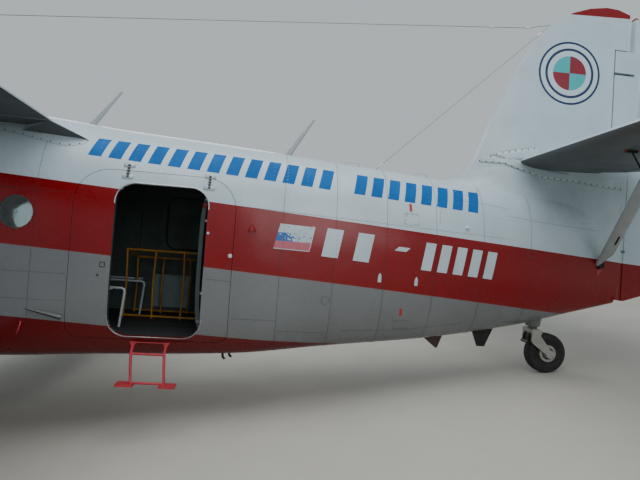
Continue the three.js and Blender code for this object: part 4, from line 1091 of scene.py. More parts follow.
FIN_FORE = [(9.56, .56), (9.797, .888), (9.86, .97), (9.93, 1.08), (10.03, 1.35), (10.173, 1.771),
            (10.33, 2.1), (10.54, 2.473), (10.66, 2.64), (10.8, 2.79), (10.99, 2.905), (11.2, 2.98),
            (11.404, 3.015), (11.55, 3.007), (11.7, 2.96)]
RUDDER_AFT = [(12.1, 2.79), (12.28, 2.64), (12.42, 2.45), (12.55, 2.2), (12.64, 1.9), (12.7, 1.55),
              (12.735, 1.2), (12.732, .85), (12.7, .5), (12.64, .2), (12.54, -.05), (12.4, -.18),
              (12.2, -.268)]
# Vertical tail's half thickness at its foot and its tip, by length
FIN_HALF = [(9.5, .02, .01), (9.9, .055, .014), (10.5, .092, .022), (11.1, .096, .04), (11.7, .074, .034),
            (12.2, .042, .02), (12.76, .006, .005)]
RUDDER = dict(hinge=11.75, nose=11.54, nose_low=1.33, nose_high=2.52, fittings=(.18, 1.5, 2.25), foot=.7)


def vertical_envelope(grow=0):
    rings = []
    for z, share in ((-.6, 0), (1.0, 0), (3.1, 1)):
        halves = []
        for x in steps(FIN_HALF[0][0], FIN_HALF[-1][0], .09):
            _, root, tip = eased(FIN_HALF, x)
            halves.append((x, root + (tip - root) * share + grow))
        rings.append([Vector((x, h, z)) for x, h in halves]
                     + [Vector((x, -h, z)) for x, h in reversed(halves)])
    return Form().loft(rings).raw("envelope")


RUDDER_FRONT = .066


def rudder_front(radius):
    """The rudder's rounded front edge below its balance, about the hinge."""
    return Form().tube([(RUDDER["hinge"], 0, -.385), (RUDDER["hinge"], 0, RUDDER["nose_low"])], radius,
                       40).raw()


def rudder_swing():
    plan = [(11.4, .14), (11.7, .14), (12.8, .76), (12.8, -.2), (11.4, -.2)]
    return Form().loft([[(x, y, z) for x, y in plan] for z in (-3, 3)]).raw("swing")


TAIL_STRUT = dict(foot=(11.45, .15, 0), head=(10.85, 1.75, 1.08), chord=.14, thick=.048)


def tail_strut():
    """The starboard strut under the tailplane, its aft edge cut back to the foot fitting."""
    foot, head = Vector(TAIL_STRUT["foot"]), Vector(TAIL_STRUT["head"])
    along = (head - foot).normalized()
    fore = (Vector((1, 0, 0)) - along * along.x).normalized()
    across = along.cross(fore)
    rings = []
    for share, chord in ((0, .05), (.03, .055), (.06, .085), (.115, .14), (.5, .14), (1, .14)):
        middle = foot.lerp(head, share) - fore * (TAIL_STRUT["chord"] - chord) / 2
        rings.append([middle + fore * math.cos(t) * chord / 2 + across * math.sin(t) * TAIL_STRUT["thick"] / 2
                      for t in (2 * math.pi * k / 28 for k in range(28))])
    return Form().loft(rings).raw()


class BIPLANE_OT_tail(bpy.types.Operator):
    """Fin, rudder, tailplane, elevators and their struts"""
    bl_idname = "biplane.tail"
    bl_label = "Tail"

    def execute(self, context):
        self.fin()
        self.rudder()
        panel, plates = fixed_panel(TAILPLANE, ("elevator",))
        carve(panel, vertical_envelope(.0003), rudder_swing())
        moving = carve(hinged_surface(*SURFACES["elevator"]), rudder_swing())
        # Downward faces take the underside grey, which holds painted shade
        covers = [finish(white_fabric), finish(grey_fabric_with_shade)]
        strut = tail_strut()
        carve(strut, hull_loft(9, STERN_X, -.0003), self.lowered(panel))
        for name, right, body, skins in (
                ("tailplane", panel, "airframe", covers), ("elevator", moving, "elevators", covers),
                ("tailplane_strut", strut, "airframe", [finish(grey_enamel)])):
            for side, blank in (("left", mirror_twin(right)), ("right", right)):
                pick = (lambda c, n: int(n.z < -.02)) if len(skins) > 1 else None
                dress(blank, f"{name}_cover_{side}", skins, body=body, stands_for=[f"{name}_{side}"],
                      pick=pick)
        hinge_plates = plates.raw()
        for side, blank in (("left", mirror_twin(hinge_plates)), ("right", hinge_plates)):
            dress(blank, f"elevator_hinge_plates_{side}", oiled_steel)
        return {"FINISHED"}

    @staticmethod
    def lowered(panel):
        twin = copied(panel)
        twin.data.transform(Matrix.Translation((0, 0, -.0003)))
        return twin

    @staticmethod
    def fin():
        outline = FIN_FORE + [(11.7, .56)]
        fin = carve(vertical_envelope(), Form().prism(outline, -.3, .3), operation="INTERSECT")
        clear = Form().box((RUDDER["nose"] - .014, -.2, RUDDER["nose_low"] - .012),
                           (12.05, .2, RUDDER["nose_high"] + .012))
        hull = hull_loft(9, STERN_X).moved(Matrix.Translation((0, 0, .0003))).raw()
        outline_low = Form().prism([(11.6, .7), (11.79, .7), (11.79, 1.318), (11.6, 1.318)], -.3, .3).raw()
        carve(fin, carve(vertical_envelope(), outline_low, operation="INTERSECT"), operation="UNION")
        carve(fin, clear, hull, Form().box((0, -.9, -3), (20, .9, .7)), rudder_front(RUDDER_FRONT + .009))
        carve(fin, Form().box((11.755, -.2, 0), (12, .2, 1.33)))
        dress(fin, "fin_skin", roundel_enamel, stands_for=["fin"])
        lugs = Form()
        for z in RUDDER["fittings"][1:]:
            lugs.box((RUDDER["nose"] - .04, -.018, z - .005), (RUDDER["hinge"] + .018, .018, z + .005))
            lugs.tube([(RUDDER["hinge"], 0, z - .045), (RUDDER["hinge"], 0, z + .045)], .009, 14)
        dress(lugs, "rudder_lugs", oiled_steel)

    @staticmethod
    def rudder():
        hinge = RUDDER["hinge"]
        outline = [(hinge + .025, 2.94), (hinge + .12, 2.91)] + RUDDER_AFT + [
            (hinge + .06, -.39), (hinge + .025, -.39)]
        body = carve(vertical_envelope(), Form().prism(outline, -.3, .3), operation="INTERSECT")
        nose = Form().box((RUDDER["nose"], -.2, RUDDER["nose_low"]),
                          (hinge + .2, .2, RUDDER["nose_high"])).raw()
        carve(body, carve(vertical_envelope(), nose, operation="INTERSECT"), operation="UNION")
        carve(body, rudder_front(RUDDER_FRONT), operation="UNION")
        notches = Form()
        for z in RUDDER["fittings"]:
            notches.box((RUDDER["nose"] - .04, -.2, z - .015), (hinge + .042, .2, z + .015))
        notches.box((11.5, -.2, 1.318), (hinge + .02, .2, RUDDER["nose_low"]))
        carve(body, notches)
        dress(body, "rudder_skin", banded_enamel, body="rudder", stands_for=["rudder"])


# Struts, wires and landing gear
def wing_height(wing, y):
    return wing["z"] + math.tan(math.radians(wing["dihedral"])) * (y - wing["y0"])


STRUT = dict(y=5.55, thick=.076, waist=.23, foot=(3.6, 4.52), head=(3.68, 4.76), flare=.52)


class BIPLANE_OT_struts(bpy.types.Operator):
    """Interplane struts and crossed bracing wires"""
    bl_idname = "biplane.struts"
    bl_label = "Struts and Wires"

    def execute(self, context):
        low, high = wing_height(LOWER, STRUT["y"]), wing_height(UPPER, STRUT["y"])
        rings = []
        middle = (sum(STRUT["foot"]) + sum(STRUT["head"])) / 4
        for k in range(33):
            z = low + .07 + (high - low - .04) * k / 32
            foot_share = max(0, 1 - (z - low) / STRUT["flare"]) ** 2
            head_share = max(0, 1 - (high - z) / STRUT["flare"]) ** 2
            fore = middle - STRUT["waist"] / 2
            aft = middle + STRUT["waist"] / 2
            fore += (STRUT["foot"][0] - fore) * foot_share + (STRUT["head"][0] - fore) * head_share
            aft += (STRUT["foot"][1] - aft) * foot_share + (STRUT["head"][1] - aft) * head_share
            turns = [2 * math.pi * i / 28 for i in range(28)]
            rings.append([((fore + aft) / 2 + math.cos(t) * (aft - fore) / 2,
                           STRUT["y"] + math.copysign(abs(math.sin(t)) ** .8, math.sin(t))
                           * STRUT["thick"] / 2, z) for t in turns])
        self.pair(Form().loft(rings).raw(), "interplane_strut", finish(grey_enamel), "white_paint",
                  ["interplane_strut"])
        wires = Form()
        outer = STRUT["y"] - .11
        for side in (-1, 1):
            wires.bar((4.08 + side * .035, .96, wing_height(LOWER, .96) + .1),
                      (4.08 + side * .035, outer, wing_height(UPPER, outer) - .02), .014, .009, 10)
            wires.bar((4.08 + side * .0175, .96, wing_height(UPPER, .96) - .02),
                      (4.08 + side * .0175, outer, wing_height(LOWER, outer) + .1), .014, .009, 10)
        rise = [wing_height(UPPER, y) - wing_height(LOWER, y) for y in (.96, outer)]
        share = rise[0] / sum(rise)
        cross = Vector((4.08, .96 + (outer - .96) * share,
                        wing_height(LOWER, .96) + (wing_height(UPPER, outer) - wing_height(LOWER, .96))
                        * share))
        wires.bar(cross - Vector((.06, .0, 0)), cross + Vector((.06, 0, 0)), .06, .05, 16)
        self.pair(wires.raw(), "bracing_wires", finish(oiled_steel), "steel", ["bracing_wires"])
        return {"FINISHED"}

    @staticmethod
    def pair(right, name, skin, slot, stands):
        for side, blank in (("left", mirror_twin(right)), ("right", right)):
            dress(blank, f"{name}_fine_{side}", skin, stands_for=[f"{s}_{side}" for s in stands])


WHEELS = {
    "main": dict(at=(2.78, 1.68, -1.9703), radius=.4, width=.26, rim=.215, lip=.012, axle=.034),
    "tail": dict(at=(10.93, 0, -1.045), radius=.225, width=.15, rim=.12, lip=.022, axle=.016),
}
SPIN_AXIS = Matrix.Rotation(math.pi / 2, 4, "Z")


class BIPLANE_OT_gear(bpy.types.Operator):
    """Gear legs, shock struts, wheels and the castering tail fork"""
    bl_idname = "biplane.gear"
    bl_label = "Landing Gear"

    def execute(self, context):
        for side, sign in SIDES:
            self.wheel(WHEELS["main"], sign, f"main_wheel_{side}", f"wheel_rim_{side}", f"tyre_{side}",
                       "wheel_paint")
            self.leg(side, sign)
        self.wheel(WHEELS["tail"], 1, "tail_wheel", "tail_wheel_rim", "tail_tyre", "bare_metal")
        hub = Form()
        for side in (-1, 1):
            hub.turned([(side * a, r)
                        for a, r in ((.045, .062), (.078, .066), (.083, .072), (.083, .09), (.078, .096),
                                     (.045, .097))], Matrix.Translation(WHEELS["tail"]["at"]) @ SPIN_AXIS,
                       64, looped=True)
        dress(hub, "tail_hub_flanges", fork_enamel, body="tail_wheel")
        self.fork()
        return {"FINISHED"}

    @staticmethod
    def wheel(w, sign, body, rim_node, tyre_node, slot):
        at = Vector((w["at"][0], sign * w["at"][1], w["at"][2]))
        turn = Matrix.Translation(at) @ SPIN_AXIS
        half, bore = w["width"] / 2, w["axle"] * 1.02
        rim = Form().turned([(-half * .72, bore), (-half * .74, bore + .012), (-half * .7, bore + .026),
                             (-half * .34, bore + .036), (-half * .28, bore + .06),
                             (-half * .4, w["rim"] * .7), (-half * .55, w["rim"] - .018),
                             (-half * .66, w["rim"] - .012), (-half * .68, w["rim"] - .002),
                             (-half * .62, w["rim"]), (half * .62, w["rim"]),
                             (half * .68, w["rim"] - .002), (half * .66, w["rim"] - .012),
                             (half * .55, w["rim"] - .018), (half * .4, w["rim"] * .7),
                             (half * .28, bore + .06), (half * .34, bore + .036),
                             (half * .7, bore + .026), (half * .74, bore + .012), (half * .72, bore)],
                            turn, 64, looped=True)
        for k in range(8):
            t = math.pi * k / 4
            for face in (-1, 1):
                centre = turn @ Vector((face * half * .36, math.cos(t) * (bore + .05),
                                        math.sin(t) * (bore + .05)))
                out = turn.to_3x3() @ Vector((face, 0, 0))
                rim.tube([centre - out * .012, centre + out * .012], .008, 6)
        dress(rim, f"{rim_node}_fine", grey_enamel, body=body, stands_for=[rim_node])
        bead = w["rim"] + .0005
        lip = w["rim"] - w["lip"]
        side_wall = [(half * .6, bead), (half * .69, bead), (half * .7, lip), (half * .75, lip + .003),
                     (half * .78, bead + .006), (half * .9, bead + (w["radius"] - bead) * .25),
                     (half * 1.0, bead + (w["radius"] - bead) * .5),
                     (half * .97, bead + (w["radius"] - bead) * .72), (half * .88, w["radius"] * .945),
                     (half * .74, w["radius"] * .975), (half * .62, w["radius"] * .99)]
        tread = []
        for k in range(-3, 4):
            groove = half * .16 * k
            tread += [(groove - half * .022, w["radius"] * .999), (groove - half * .016, w["radius"] * .978),
                      (groove + half * .016, w["radius"] * .978), (groove + half * .022, w["radius"] * .999)]
        profile = [(-a, r) for a, r in side_wall] + tread + list(reversed(side_wall))
        tyre = Form().turned(profile, turn, 96, looped=True)
        dress(tyre, f"{tyre_node}_fine", black_rubber, body=body, stands_for=[tyre_node])

    @staticmethod
    def leg(side, sign):
        x, y, z = WHEELS["main"]["at"]
        axle_in = y - .23
        foot = Vector((x, sign * axle_in, z))
        legs = Form()
        for top in ((2.48, .5, -1.0), (3.24, .5, -1.15)):
            legs.bar(Vector((top[0], sign * top[1], top[2])), foot, .1, .07, 24)
        legs.tube([(x, sign * (axle_in - .06), z), (x, sign * (y + .12), z)], .034, 32)
        legs.turned([(-.07, 0), (-.07, .055), (-.05, .075), (.06, .08), (.08, .06), (.08, 0)],
                    Matrix.Translation(foot) @ SPIN_AXIS, 32)
        legs.turned([(.0, .036), (.0, .06), (.012, .06), (.02, .036)],
                    Matrix.Translation((x, sign * y, z)) @ Matrix.Rotation(sign * math.pi / 2, 4, "Z")
                    @ Matrix.Translation((.094, 0, 0)), 24)
        raw = carve(legs, hull_loft(NOSE_X, TAIL_X, -.0003))
        dress(raw, f"main_gear_leg_fine_{side}", grey_enamel, stands_for=[f"main_gear_leg_{side}"])
        top, knee = Vector((2.7, sign * .76, -.42)), Vector((2.745, sign * 1.18, -1.35))
        shock = Form().tube([top, top.lerp(knee, .97), knee], [.062, .062, .056], 32)
        shock.tube([knee, foot + Vector((0, 0, .09))], .044, 32)
        for share in (.5, .96):
            band = top.lerp(knee, share)
            along = (knee - top).normalized()
            shock.tube([band - along * .02, band + along * .02], .07, 32)
        raw = carve(shock, hull_loft(NOSE_X, TAIL_X, -.0003))
        dress(raw, f"shock_strut_fine_{side}", [grey_enamel, oiled_steel],
              stands_for=[f"shock_strut_{side}"], pick=lambda c, n: int(c.z < -1.37))

    @staticmethod
    def fork():
        """The tail gear's stem and its boot, and the fork with its lever, which turn about the stem."""
        pivot_x = 10.77
        axle_x, _, axle_z = WHEELS["tail"]["at"]
        stem = Form().tube([(pivot_x, 0, -.5), (pivot_x, 0, -.77)], [.07, .05], 32)
        stem.tube([(pivot_x, 0, -.6), (pivot_x, 0, -.845)], .022, 32)
        raw = carve(stem, hull_loft(9, STERN_X, -.0003))
        dress(raw, "tail_gear_stem_fine", oiled_steel, stands_for=["tail_gear_stem"])
        fork = Form()
        crown = [(10.71, -.8), (10.715, -.83), (10.745, -.836), (10.8, -.836), (10.826, -.825),
                 (10.826, -.785), (10.8, -.772), (10.73, -.772), (10.71, -.782)]
        fork.prism(crown, -.116, .116)
        for side in (-1, 1):
            arm = [(10.715, -.775), (10.8, -.77), (10.826, -.86), (10.92, -.97), (10.968, -1.03),
                   (10.968, -1.06), (10.945, -1.08), (10.91, -1.078), (10.885, -1.05), (10.728, -.935),
                   (10.71, -.91)]
            fork.prism(arm, side * .1 - .013, side * .1 + .013)
            fork.tube([(10.935, side * .1, -1.047), (10.935, side * .12, -1.047)], .046, 32)
        fork.tube([(axle_x, -.11, axle_z), (axle_x, .11, axle_z)], .016, 24)
        for side in (-1, 1):
            fork.tube([(axle_x, side * .113, axle_z), (axle_x, side * .126, axle_z)], .026, 6)
        raw = carve(fork, Form().tube([(pivot_x, 0, -.6), (pivot_x, 0, -.86)], .0226, 24))
        bevel(dress(raw, "tail_fork_fine", fork_enamel, body="tail_fork", stands_for=["tail_fork"]), .004)
        lever = Form().tube([(10.695, -.075, -.925), (10.695, .075, -.925)], .02, 16)
        for side in (-1, 1):
            lever.tube([(10.74, side * .045, -.79), (10.7, side * .05, -.86),
                        (10.695, side * .05, -.925)], .014, 12)
        dress(lever, "tail_fork_lever", blackened_steel, body="tail_fork", sharp=60)
        boot = Form().tube([(pivot_x, 0, -.64 - .0155 * k) for k in range(8)],
                           [.098, .084, .094, .08, .09, .076, .084, .07], 32)
        dress(carve(boot, hull_loft(9, STERN_X, 0)), "tail_gear_boot", cotton_duck)


# Engine, cowling and propeller
COWL = dict(front=.43, rear=1.65, outer=.76, lip=.575, fit=.715)
BLADE = [(.148, .12, .118, 60), (.2, .125, .11, 58), (.33, .17, .09, 48), (.62, .3, .058, 36),
         (1.05, .34, .036, 26), (1.3, .335, .028, 23), (1.5, .31, .022, 20), (1.6, .25, .016, 18.6),
         (1.64, .205, .014, 18), (1.665, .14, .01, 18), (1.675, .07, .006, 18)]


class BIPLANE_OT_power(bpy.types.Operator):
    """Radial engine, cowling and four-bladed propeller"""
    bl_idname = "biplane.power"
    bl_label = "Engine and Propeller"

    def execute(self, context):
        self.cowling()
        self.engine()
        self.propeller()
        return {"FINISHED"}

    @staticmethod
    def cowling():
        f, r = COWL["front"], COWL["rear"]
        ring = Form().turned([(f + .06, COWL["lip"]), (f + .02, COWL["lip"] + .008),
                              (f, COWL["lip"] + .035), (f + .008, COWL["lip"] + .06),
                              (f + .035, COWL["lip"] + .095), (f + .08, COWL["outer"] - .062),
                              (f + .14, COWL["outer"] - .03), (f + .22, COWL["outer"] - .01),
                              (f + .32, COWL["outer"]), (r - .35, COWL["outer"]),
                              (r - .2, COWL["outer"] - .004), (r, COWL["outer"] - .015), (r, COWL["fit"]),
                              (f + .3, COWL["fit"]), (f + .2, COWL["lip"] + .1),
                              (f + .14, COWL["lip"] + .06), (f + .1, COWL["lip"] + .02)], sides=128,
                             looped=True).raw()
        bore = [(0, 0), (0, COWL["lip"]), (f + .09, COWL["lip"]), (f + .2, COWL["fit"]),
                (r + .1, COWL["fit"]), (r + .1, 0)]
        for rows, wide, above, below in (
                ([(.7, .13, .905, .64), (1.3, .15, .925, .64), (1.64, .11, .86, .64)], .74, 2.6, 4),
                ([(.76, .19, -.64, -1.01), (1.2, .21, -.64, -1.05), (1.64, .15, -.64, -.9)], -.82, 4, 2.8)):
            table = [(x, w, top, low, wide, above, below) for x, w, top, low in rows]
            duct = carve(hull_loft(rows[0][0], rows[-1][0], table=table, sides=64),
                         Form().turned(bore, sides=96))
            mouth = [(x, w - .02, top - .02, low + .02, wide, above, below) for x, w, top, low in rows]
            carve(duct,
                  hull_loft(rows[0][0] - .02, rows[0][0] + .09,
                            table=[mouth[0]] + [(rows[0][0] + .3,) + mouth[0][1:]], sides=48))
            carve(ring, duct, operation="UNION")
        pipe = carve(Form().tube([(1.12, .69, -.33), (1.2, .75, -.39), (1.42, .86, -.56)], .078, 40),
                     Form().turned(bore, sides=96))
        carve(pipe, Form().tube([(1.3, .81, -.46), (1.45, .873, -.583)], .07, 40))
        dress(pipe, "exhaust_pipe", burnt_steel)
        dress(ring, "cowling_skin", banded_enamel, stands_for=["cowling"])

    @staticmethod
    def engine():
        case = Form().turned([(.42, .0), (.42, .04), (.455, .04), (.455, .11), (.5, .15), (.62, .19),
                              (.66, .25), (.76, .3), (.86, .31), (.94, .31), (1.06, .3), (1.2, .43),
                              (1.5997, .43), (1.5997, 0)], sides=96)
        dress(case, "crankcase", cast_casing, stands_for=["engine"])
        barrels, heads, rods = Form(), Form(), Form()
        for i in range(9):
            spread = Matrix.Translation((.9, 0, 0)) @ Matrix.Rotation(2 * math.pi * i / 9, 4, "X")
            turn = spread @ Matrix.Rotation(-math.pi / 2, 4, "Y")
            profile = [(.24, .07)]
            for k in range(20):
                a = .31 + k * .0095
                profile += [(a, .072), (a, .1), (a + .004, .1), (a + .004, .072)]
            profile += [(.51, .08)]
            barrels.turned(profile, turn, 32)
            profile = [(.5, .06)]
            for k in range(10):
                a = .51 + k * .0135
                profile += [(a, .085), (a, .112 - .0025 * k), (a + .005, .112 - .0025 * k), (a + .005, .085)]
            profile += [(.65, .07), (.66, .05)]
            heads.turned(profile, turn, 32)
            for lean in (-1, 1):
                start = turn @ Vector((.27, lean * .05, .13))
                rods.tube([start, turn @ Vector((.62, lean * .07, .1))], .012, 10)
                rods.tube([turn @ Vector((.6, lean * .07, .12)), turn @ Vector((.64, lean * .07, -.02))],
                          .03, 12)
        dress(barrels, "cylinder_barrels", blackened_steel)
        dress(heads, "cylinder_heads", cast_casing)
        dress(rods, "pushrod_tubes", bare_aluminium)

    @staticmethod
    def propeller():
        x0 = SPINNER.x
        hub = Form().turned([(0, 0), (.004, .025), (.014, .052), (.035, .078), (.07, .098), (.12, .107),
                             (.2, .112), (.21, .15), (.39, .15), (.43, .13), (.44, .12), (.44, 0)],
                            sides=64)
        raw = carve(hub, Form().tube([(.412, 0, 0), (.5, 0, 0)], .0408, 32))
        dress(raw, "propeller_hub_fine", bare_aluminium, body="propeller", stands_for=["propeller_hub"])
        for i in range(4):
            spin = Matrix.Rotation((i + .5) * math.pi / 2, 4, "X")
            rings = []
            for r, chord, thick, pitch in [eased(BLADE, r)
                                           for r in sorted({row[0]
                                                            for row in BLADE} | set(steps(.2, 1.6, .05)))]:
                twist = Matrix.Rotation(math.radians(90 - pitch), 4, "Z")
                ring = []
                for k in range(32):
                    t = 2 * math.pi * k / 32
                    ring.append(spin
                                @ (Vector((x0, 0, r)) + twist
                                   @ Vector((math.sin(t) * thick / 2, math.cos(t) * chord / 2, 0))))
                rings.append(ring)
            seat = Form().turned([(.2, 0), (.2, .1503), (.4, .1503), (.4, 0)], sides=64).raw()
            dress(carve(Form().loft(rings), seat), f"propeller_blade_fine_{i + 1}", blade_enamel,
                  body="propeller", stands_for=[f"propeller_blade_{i + 1}"])


# Plain pieces kept from the solids
class BIPLANE_OT_interior(bpy.types.Operator):
    """Finishes of the cabin floor, front bulkhead and instrument panel"""
    bl_idname = "biplane.interior"
    bl_label = "Canopy and Interior"

    def execute(self, context):
        for name, recipe in (("cabin_floor", floor_ply), ("front_bulkhead", cabin_primer),
                             ("instrument_panel", crackle_lacquer)):
            finish_node(name, recipe)
        return {"FINISHED"}


# Skin details
def at_turn(x, turn, side, proud=0):
    """The skin's point and normal at a length and an angle up from the widest line, on one side."""
    row = eased(HULL, x)
    s = math.sin(turn)
    share = 2 / (row[5] if s > 0 else row[6])
    height = row[2] - row[4] if s > 0 else row[4] - row[3]
    return on_hull(x, row[4] + height * math.copysign(abs(s) ** share * .99999, s), side, proud)


def strip(form, line, width, lift):
    """A thin sheet along points and normals, lying lift above the surface."""
    rings = []
    for i, (point, normal) in enumerate(line):
        along = line[min(i + 1, len(line) - 1)][0] - line[max(i - 1, 0)][0]
        across = normal.cross(along).normalized() * width / 2
        rings.append([point + normal * lift - across, point + normal * lift + across])
    return form.loft(rings, capped=False, closed=False)


def skin_line(corners, side, pitch=.06):
    """Points and normals along straight runs between (x, z) corners on the skin."""
    line = []
    for a, b in zip(corners, corners[1:]):
        a, b = Vector(a), Vector(b)
        count = max(1, math.ceil((b - a).length / pitch))
        line += [on_hull(*a.lerp(b, k / count), side) for k in range(count)]
    return line + [on_hull(*corners[-1], side)]


def spaced(line, pitch, offset=0):
    """Points and normals at equal distances along a line, offset sideways on the surface."""
    spots, left = [], 0
    for (a, n), (b, _) in zip(line, line[1:]):
        length = (b - a).length
        across = n.cross(b - a).normalized() * offset if length else Vector()
        while left < length:
            spots.append((a.lerp(b, left / length) + across, n))
            left += pitch
        left -= length
    return spots


def in_doorway(x, z, side):
    door = CARGO_DOOR if side < 0 else EXIT_HATCH
    return door["x0"] - .02 < x < door["x1"] + .02 and door["z0"] - .02 < z < door["z1"] + .02


def rounded(x0, x1, z0, z1, radius, lean=0):
    """Corners of a rounded rectangle, its top shifted aft by lean."""
    outline = []
    for cx, cz, start in ((x1 - radius, z0 + radius, -90), (x1 - radius, z1 - radius, 0),
                          (x0 + radius, z1 - radius, 90), (x0 + radius, z0 + radius, 180)):
        for k in range(5):
            turn = math.radians(start + 22.5 * k)
            x, z = cx + radius * math.cos(turn), cz + radius * math.sin(turn)
            outline.append((x + lean * (z - z0) / (z1 - z0), z))
    return outline + outline[:1]


# Straight joints on the skin: lists of (x, z) corners, as far as they show on the port side
JOINTS = [
    [(7.14, -.388), (7.36, -.398)],
    [(7.40, -.738), (7.79, -.742)],
    [(7.83, -.846), (8.30, -.855)],
    [(8.45, -.825), (9.10, -.809), (9.79, -.715)],
    [(9.493, .678), (9.397, .394), (9.40, .30)],
    [(9.62, .575), (9.937, .564), (10.197, .534)],
    [(10.185, .455), (10.722, .415), (11.375, .391)],
    [(9.739, .635), (9.86, .69), (9.929, .729)],
    [(5.3, .31), (5.62, .295)],
]
# Inspection covers: x0, x1, z0, z1, corner radius
COVERS = [(9.01, 9.166, .262, .378, .012), (8.99, 9.15, -.795, -.698, .012),
          (8.222, 8.294, -.569, -.482, .035), (11.585, 11.70, .59, .685, .045),
          (10.42, 10.55, .02, .12, .05), (5.02, 5.22, -.55, -.35, .03)]
# Raised vents: middle in x and z, width, height. Drain pipes: foot, and how far they hang down
VENTS = ((7.525, .12, .085, .085), (9.70, .30, .05, .05), (4.35, .45, .09, .07))
DRAINS = ((7.3, -.42, -1.13, .06), (7.36, -.38, -1.13, .045), (8.6, -.2, -.95, .035), (4.9, .4, -1.24, .06))
# Guide lines of the shoulder bars
BAND_TOP = [(6.007, .840), (9.849, .682)]
BAND_LOW = [(6.020, .659), (9.744, .458)]


class BIPLANE_OT_skin_details(bpy.types.Operator):
    """Skin joints, rivets, covers, handles and door fittings"""
    bl_idname = "biplane.skin_details"
    bl_label = "Skin Details"

    def execute(self, context):
        s = sizes()
        for name, sign in SIDES:
            joints, rivets, screws = Form(), Form(), Form()
            for x in LAP_X:
                line = [at_turn(x, math.radians(t), sign) for t in range(-84, 91, 3)]
                line = [spot for spot in line if not (x < 5.7 and spot[0].z > .8)]
                if x < CABIN_X:
                    line = [spot for spot in line if spot[0].z < SILL_Z - .02]
                strip(joints, line, s.seam, .0006)
                for offset in (-.018, .018):
                    rivet_heads(rivets, spaced(line, s.rivet_pitch, offset), s.rivet)
            for x in steps(3.55, 11.2, .32):
                line = [at_turn(x, math.radians(t), sign) for t in range(-80, 86, 4)]
                spots = [p for p in spaced(line, s.rivet_pitch * 1.3) if not in_doorway(p[0].x, p[0].z, sign)
                         and not (x < 5.75 and p[0].z > .8)]
                rivet_heads(rivets, spots, s.rivet * .85)
            for z in LAP_Z:
                ends = [(3.35, 5.93)] if sign < 0 else [(3.35, 10.2)]
                if sign < 0 < z:
                    ends.append((7.39, 10.2))
                for x0, x1 in ends:
                    line = [on_hull(x, z * (1 - max(0, x - 7.4) * .11), sign) for x in steps(x0, x1, .1)]
                    if sign > 0 and z > -.2:
                        # Beside the windows this lap is bare, and riveted only ahead of them
                        line = [spot for spot in line if not in_doorway(spot[0].x, spot[0].z, sign)]
                        rivet_heads(rivets, spaced(line[:20], s.rivet_pitch, .014), s.rivet)
                        continue
                    strip(joints, line, s.seam * .7, .0005)
                    rivet_heads(rivets, spaced(line, s.rivet_pitch, .014), s.rivet)
            for corners in JOINTS:
                strip(joints, skin_line(corners, sign), s.seam * .8, .0006)
            for x0, x1, z0, z1, radius in COVERS:
                edge = [on_hull(x, z, sign) for x, z in rounded(x0, x1, z0, z1, radius)]
                strip(joints, edge, s.seam * .8, .0006)
                rivet_heads(screws, spaced(edge, .05, .012), .0055)
            dress(joints, f"skin_joints_{name}", sealant_and_shade)
            dress(rivets, f"rivets_{name}", banded_enamel, sharp=80)
            dress(screws, f"cover_screws_{name}", oiled_steel, sharp=80)
        self.door_rim()
        self.cargo_hinges()
        self.handles()
        self.small_fittings()
        return {"FINISHED"}

    @staticmethod
    def door_rim():
        """A rolled bright edge round the passenger doorway, and rubber seals behind the shut doors' gaps."""
        _, outline = doorway(PAX_DOOR, -.007, 0, 1)
        edge = [on_hull(x, z, -1) for x, z in outline + outline[:1]]
        rim = strip(Form(), edge, .012, .0012)
        body = dress(rim, "doorway_rim", bare_aluminium)
        thicken(body, .0015)
        seals = Form()
        for door, side in ((CARGO_DOOR, -1), (EXIT_HATCH, 1)):
            _, outline = doorway(door, 0, 0, 1)
            inner = [on_hull(x, z, side, -SKIN - .002) for x, z in outline + outline[:1]]
            strip(seals, [(p, -n) for p, n in inner], .022, .001)
        thicken(dress(seals, "door_seals", dull_rubber), .003)

    @staticmethod
    def cargo_hinges():
        """Piano-like knuckles over the cargo door's top joint."""
        steel, plates = Form(), Form()
        for x, z in ((6.382, .541), (7.108, .50)):
            for k in range(5):
                centre, _ = on_hull(x, z + (k - 2) * .026, -1, .009)
                steel.tube([centre - Vector((.011, 0, 0)), centre + Vector((.011, 0, 0))], .0105, 14)
            for half in (-1, 1):
                corner = z + half * .055
                patch(plates,
                      [(x - .05, corner - .02), (x + .05, corner - .02), (x + .05, corner + .02),
                       (x - .05, corner + .02)], -1, .003)
        bevel(dress(steel, "cargo_hinge_knuckles", oiled_steel), .001)
        thicken(dress(plates, "cargo_hinge_plates", white_enamel), .003)

    @staticmethod
    def handles():
        """Grab loops on the spine, and the flush latches of the doors."""
        loops = Form()
        for x, turn in ((8.506, 76), (9.262, 74)):
            for side in (-1, 1):
                base, normal = at_turn(x, math.radians(turn), side)
                path = []
                for k in range(15):
                    t = math.pi * k / 14
                    path.append(base + Vector((-math.cos(t) * .075, 0, 0)) + normal
                                * (.045 * math.sin(t) ** .5 - .006))
                loops.tube(path, .0065, 10)
        dress(loops, "spine_grab_loops", white_enamel, sharp=70)
        dots = Form()
        for x, z, radius in ((7.345, -.163, .019), (7.133, .03, .012)):
            centre, normal = on_hull(x, z, -1)
            face = Matrix.Translation(centre) @ normal.to_track_quat("X", "Z").to_matrix().to_4x4()
            dots.turned([(-.004, 0), (-.004, radius), (.003, radius), (.005, radius * .8), (.005, 0)],
                        face, 24)
        dress(dots, "latch_buttons", white_enamel)
        ring = strip(Form(), [on_hull(x, z, -1) for x, z in rounded(6.215, 6.257, -.338, -.296, .006)],
                     .007, .0012)
        strip(ring, [on_hull(x, z, -1) for x, z in rounded(6.195, 6.209, -.42, -.406, .006)], .007, .0012)
        dress(ring, "latch_sockets", black_rubber)

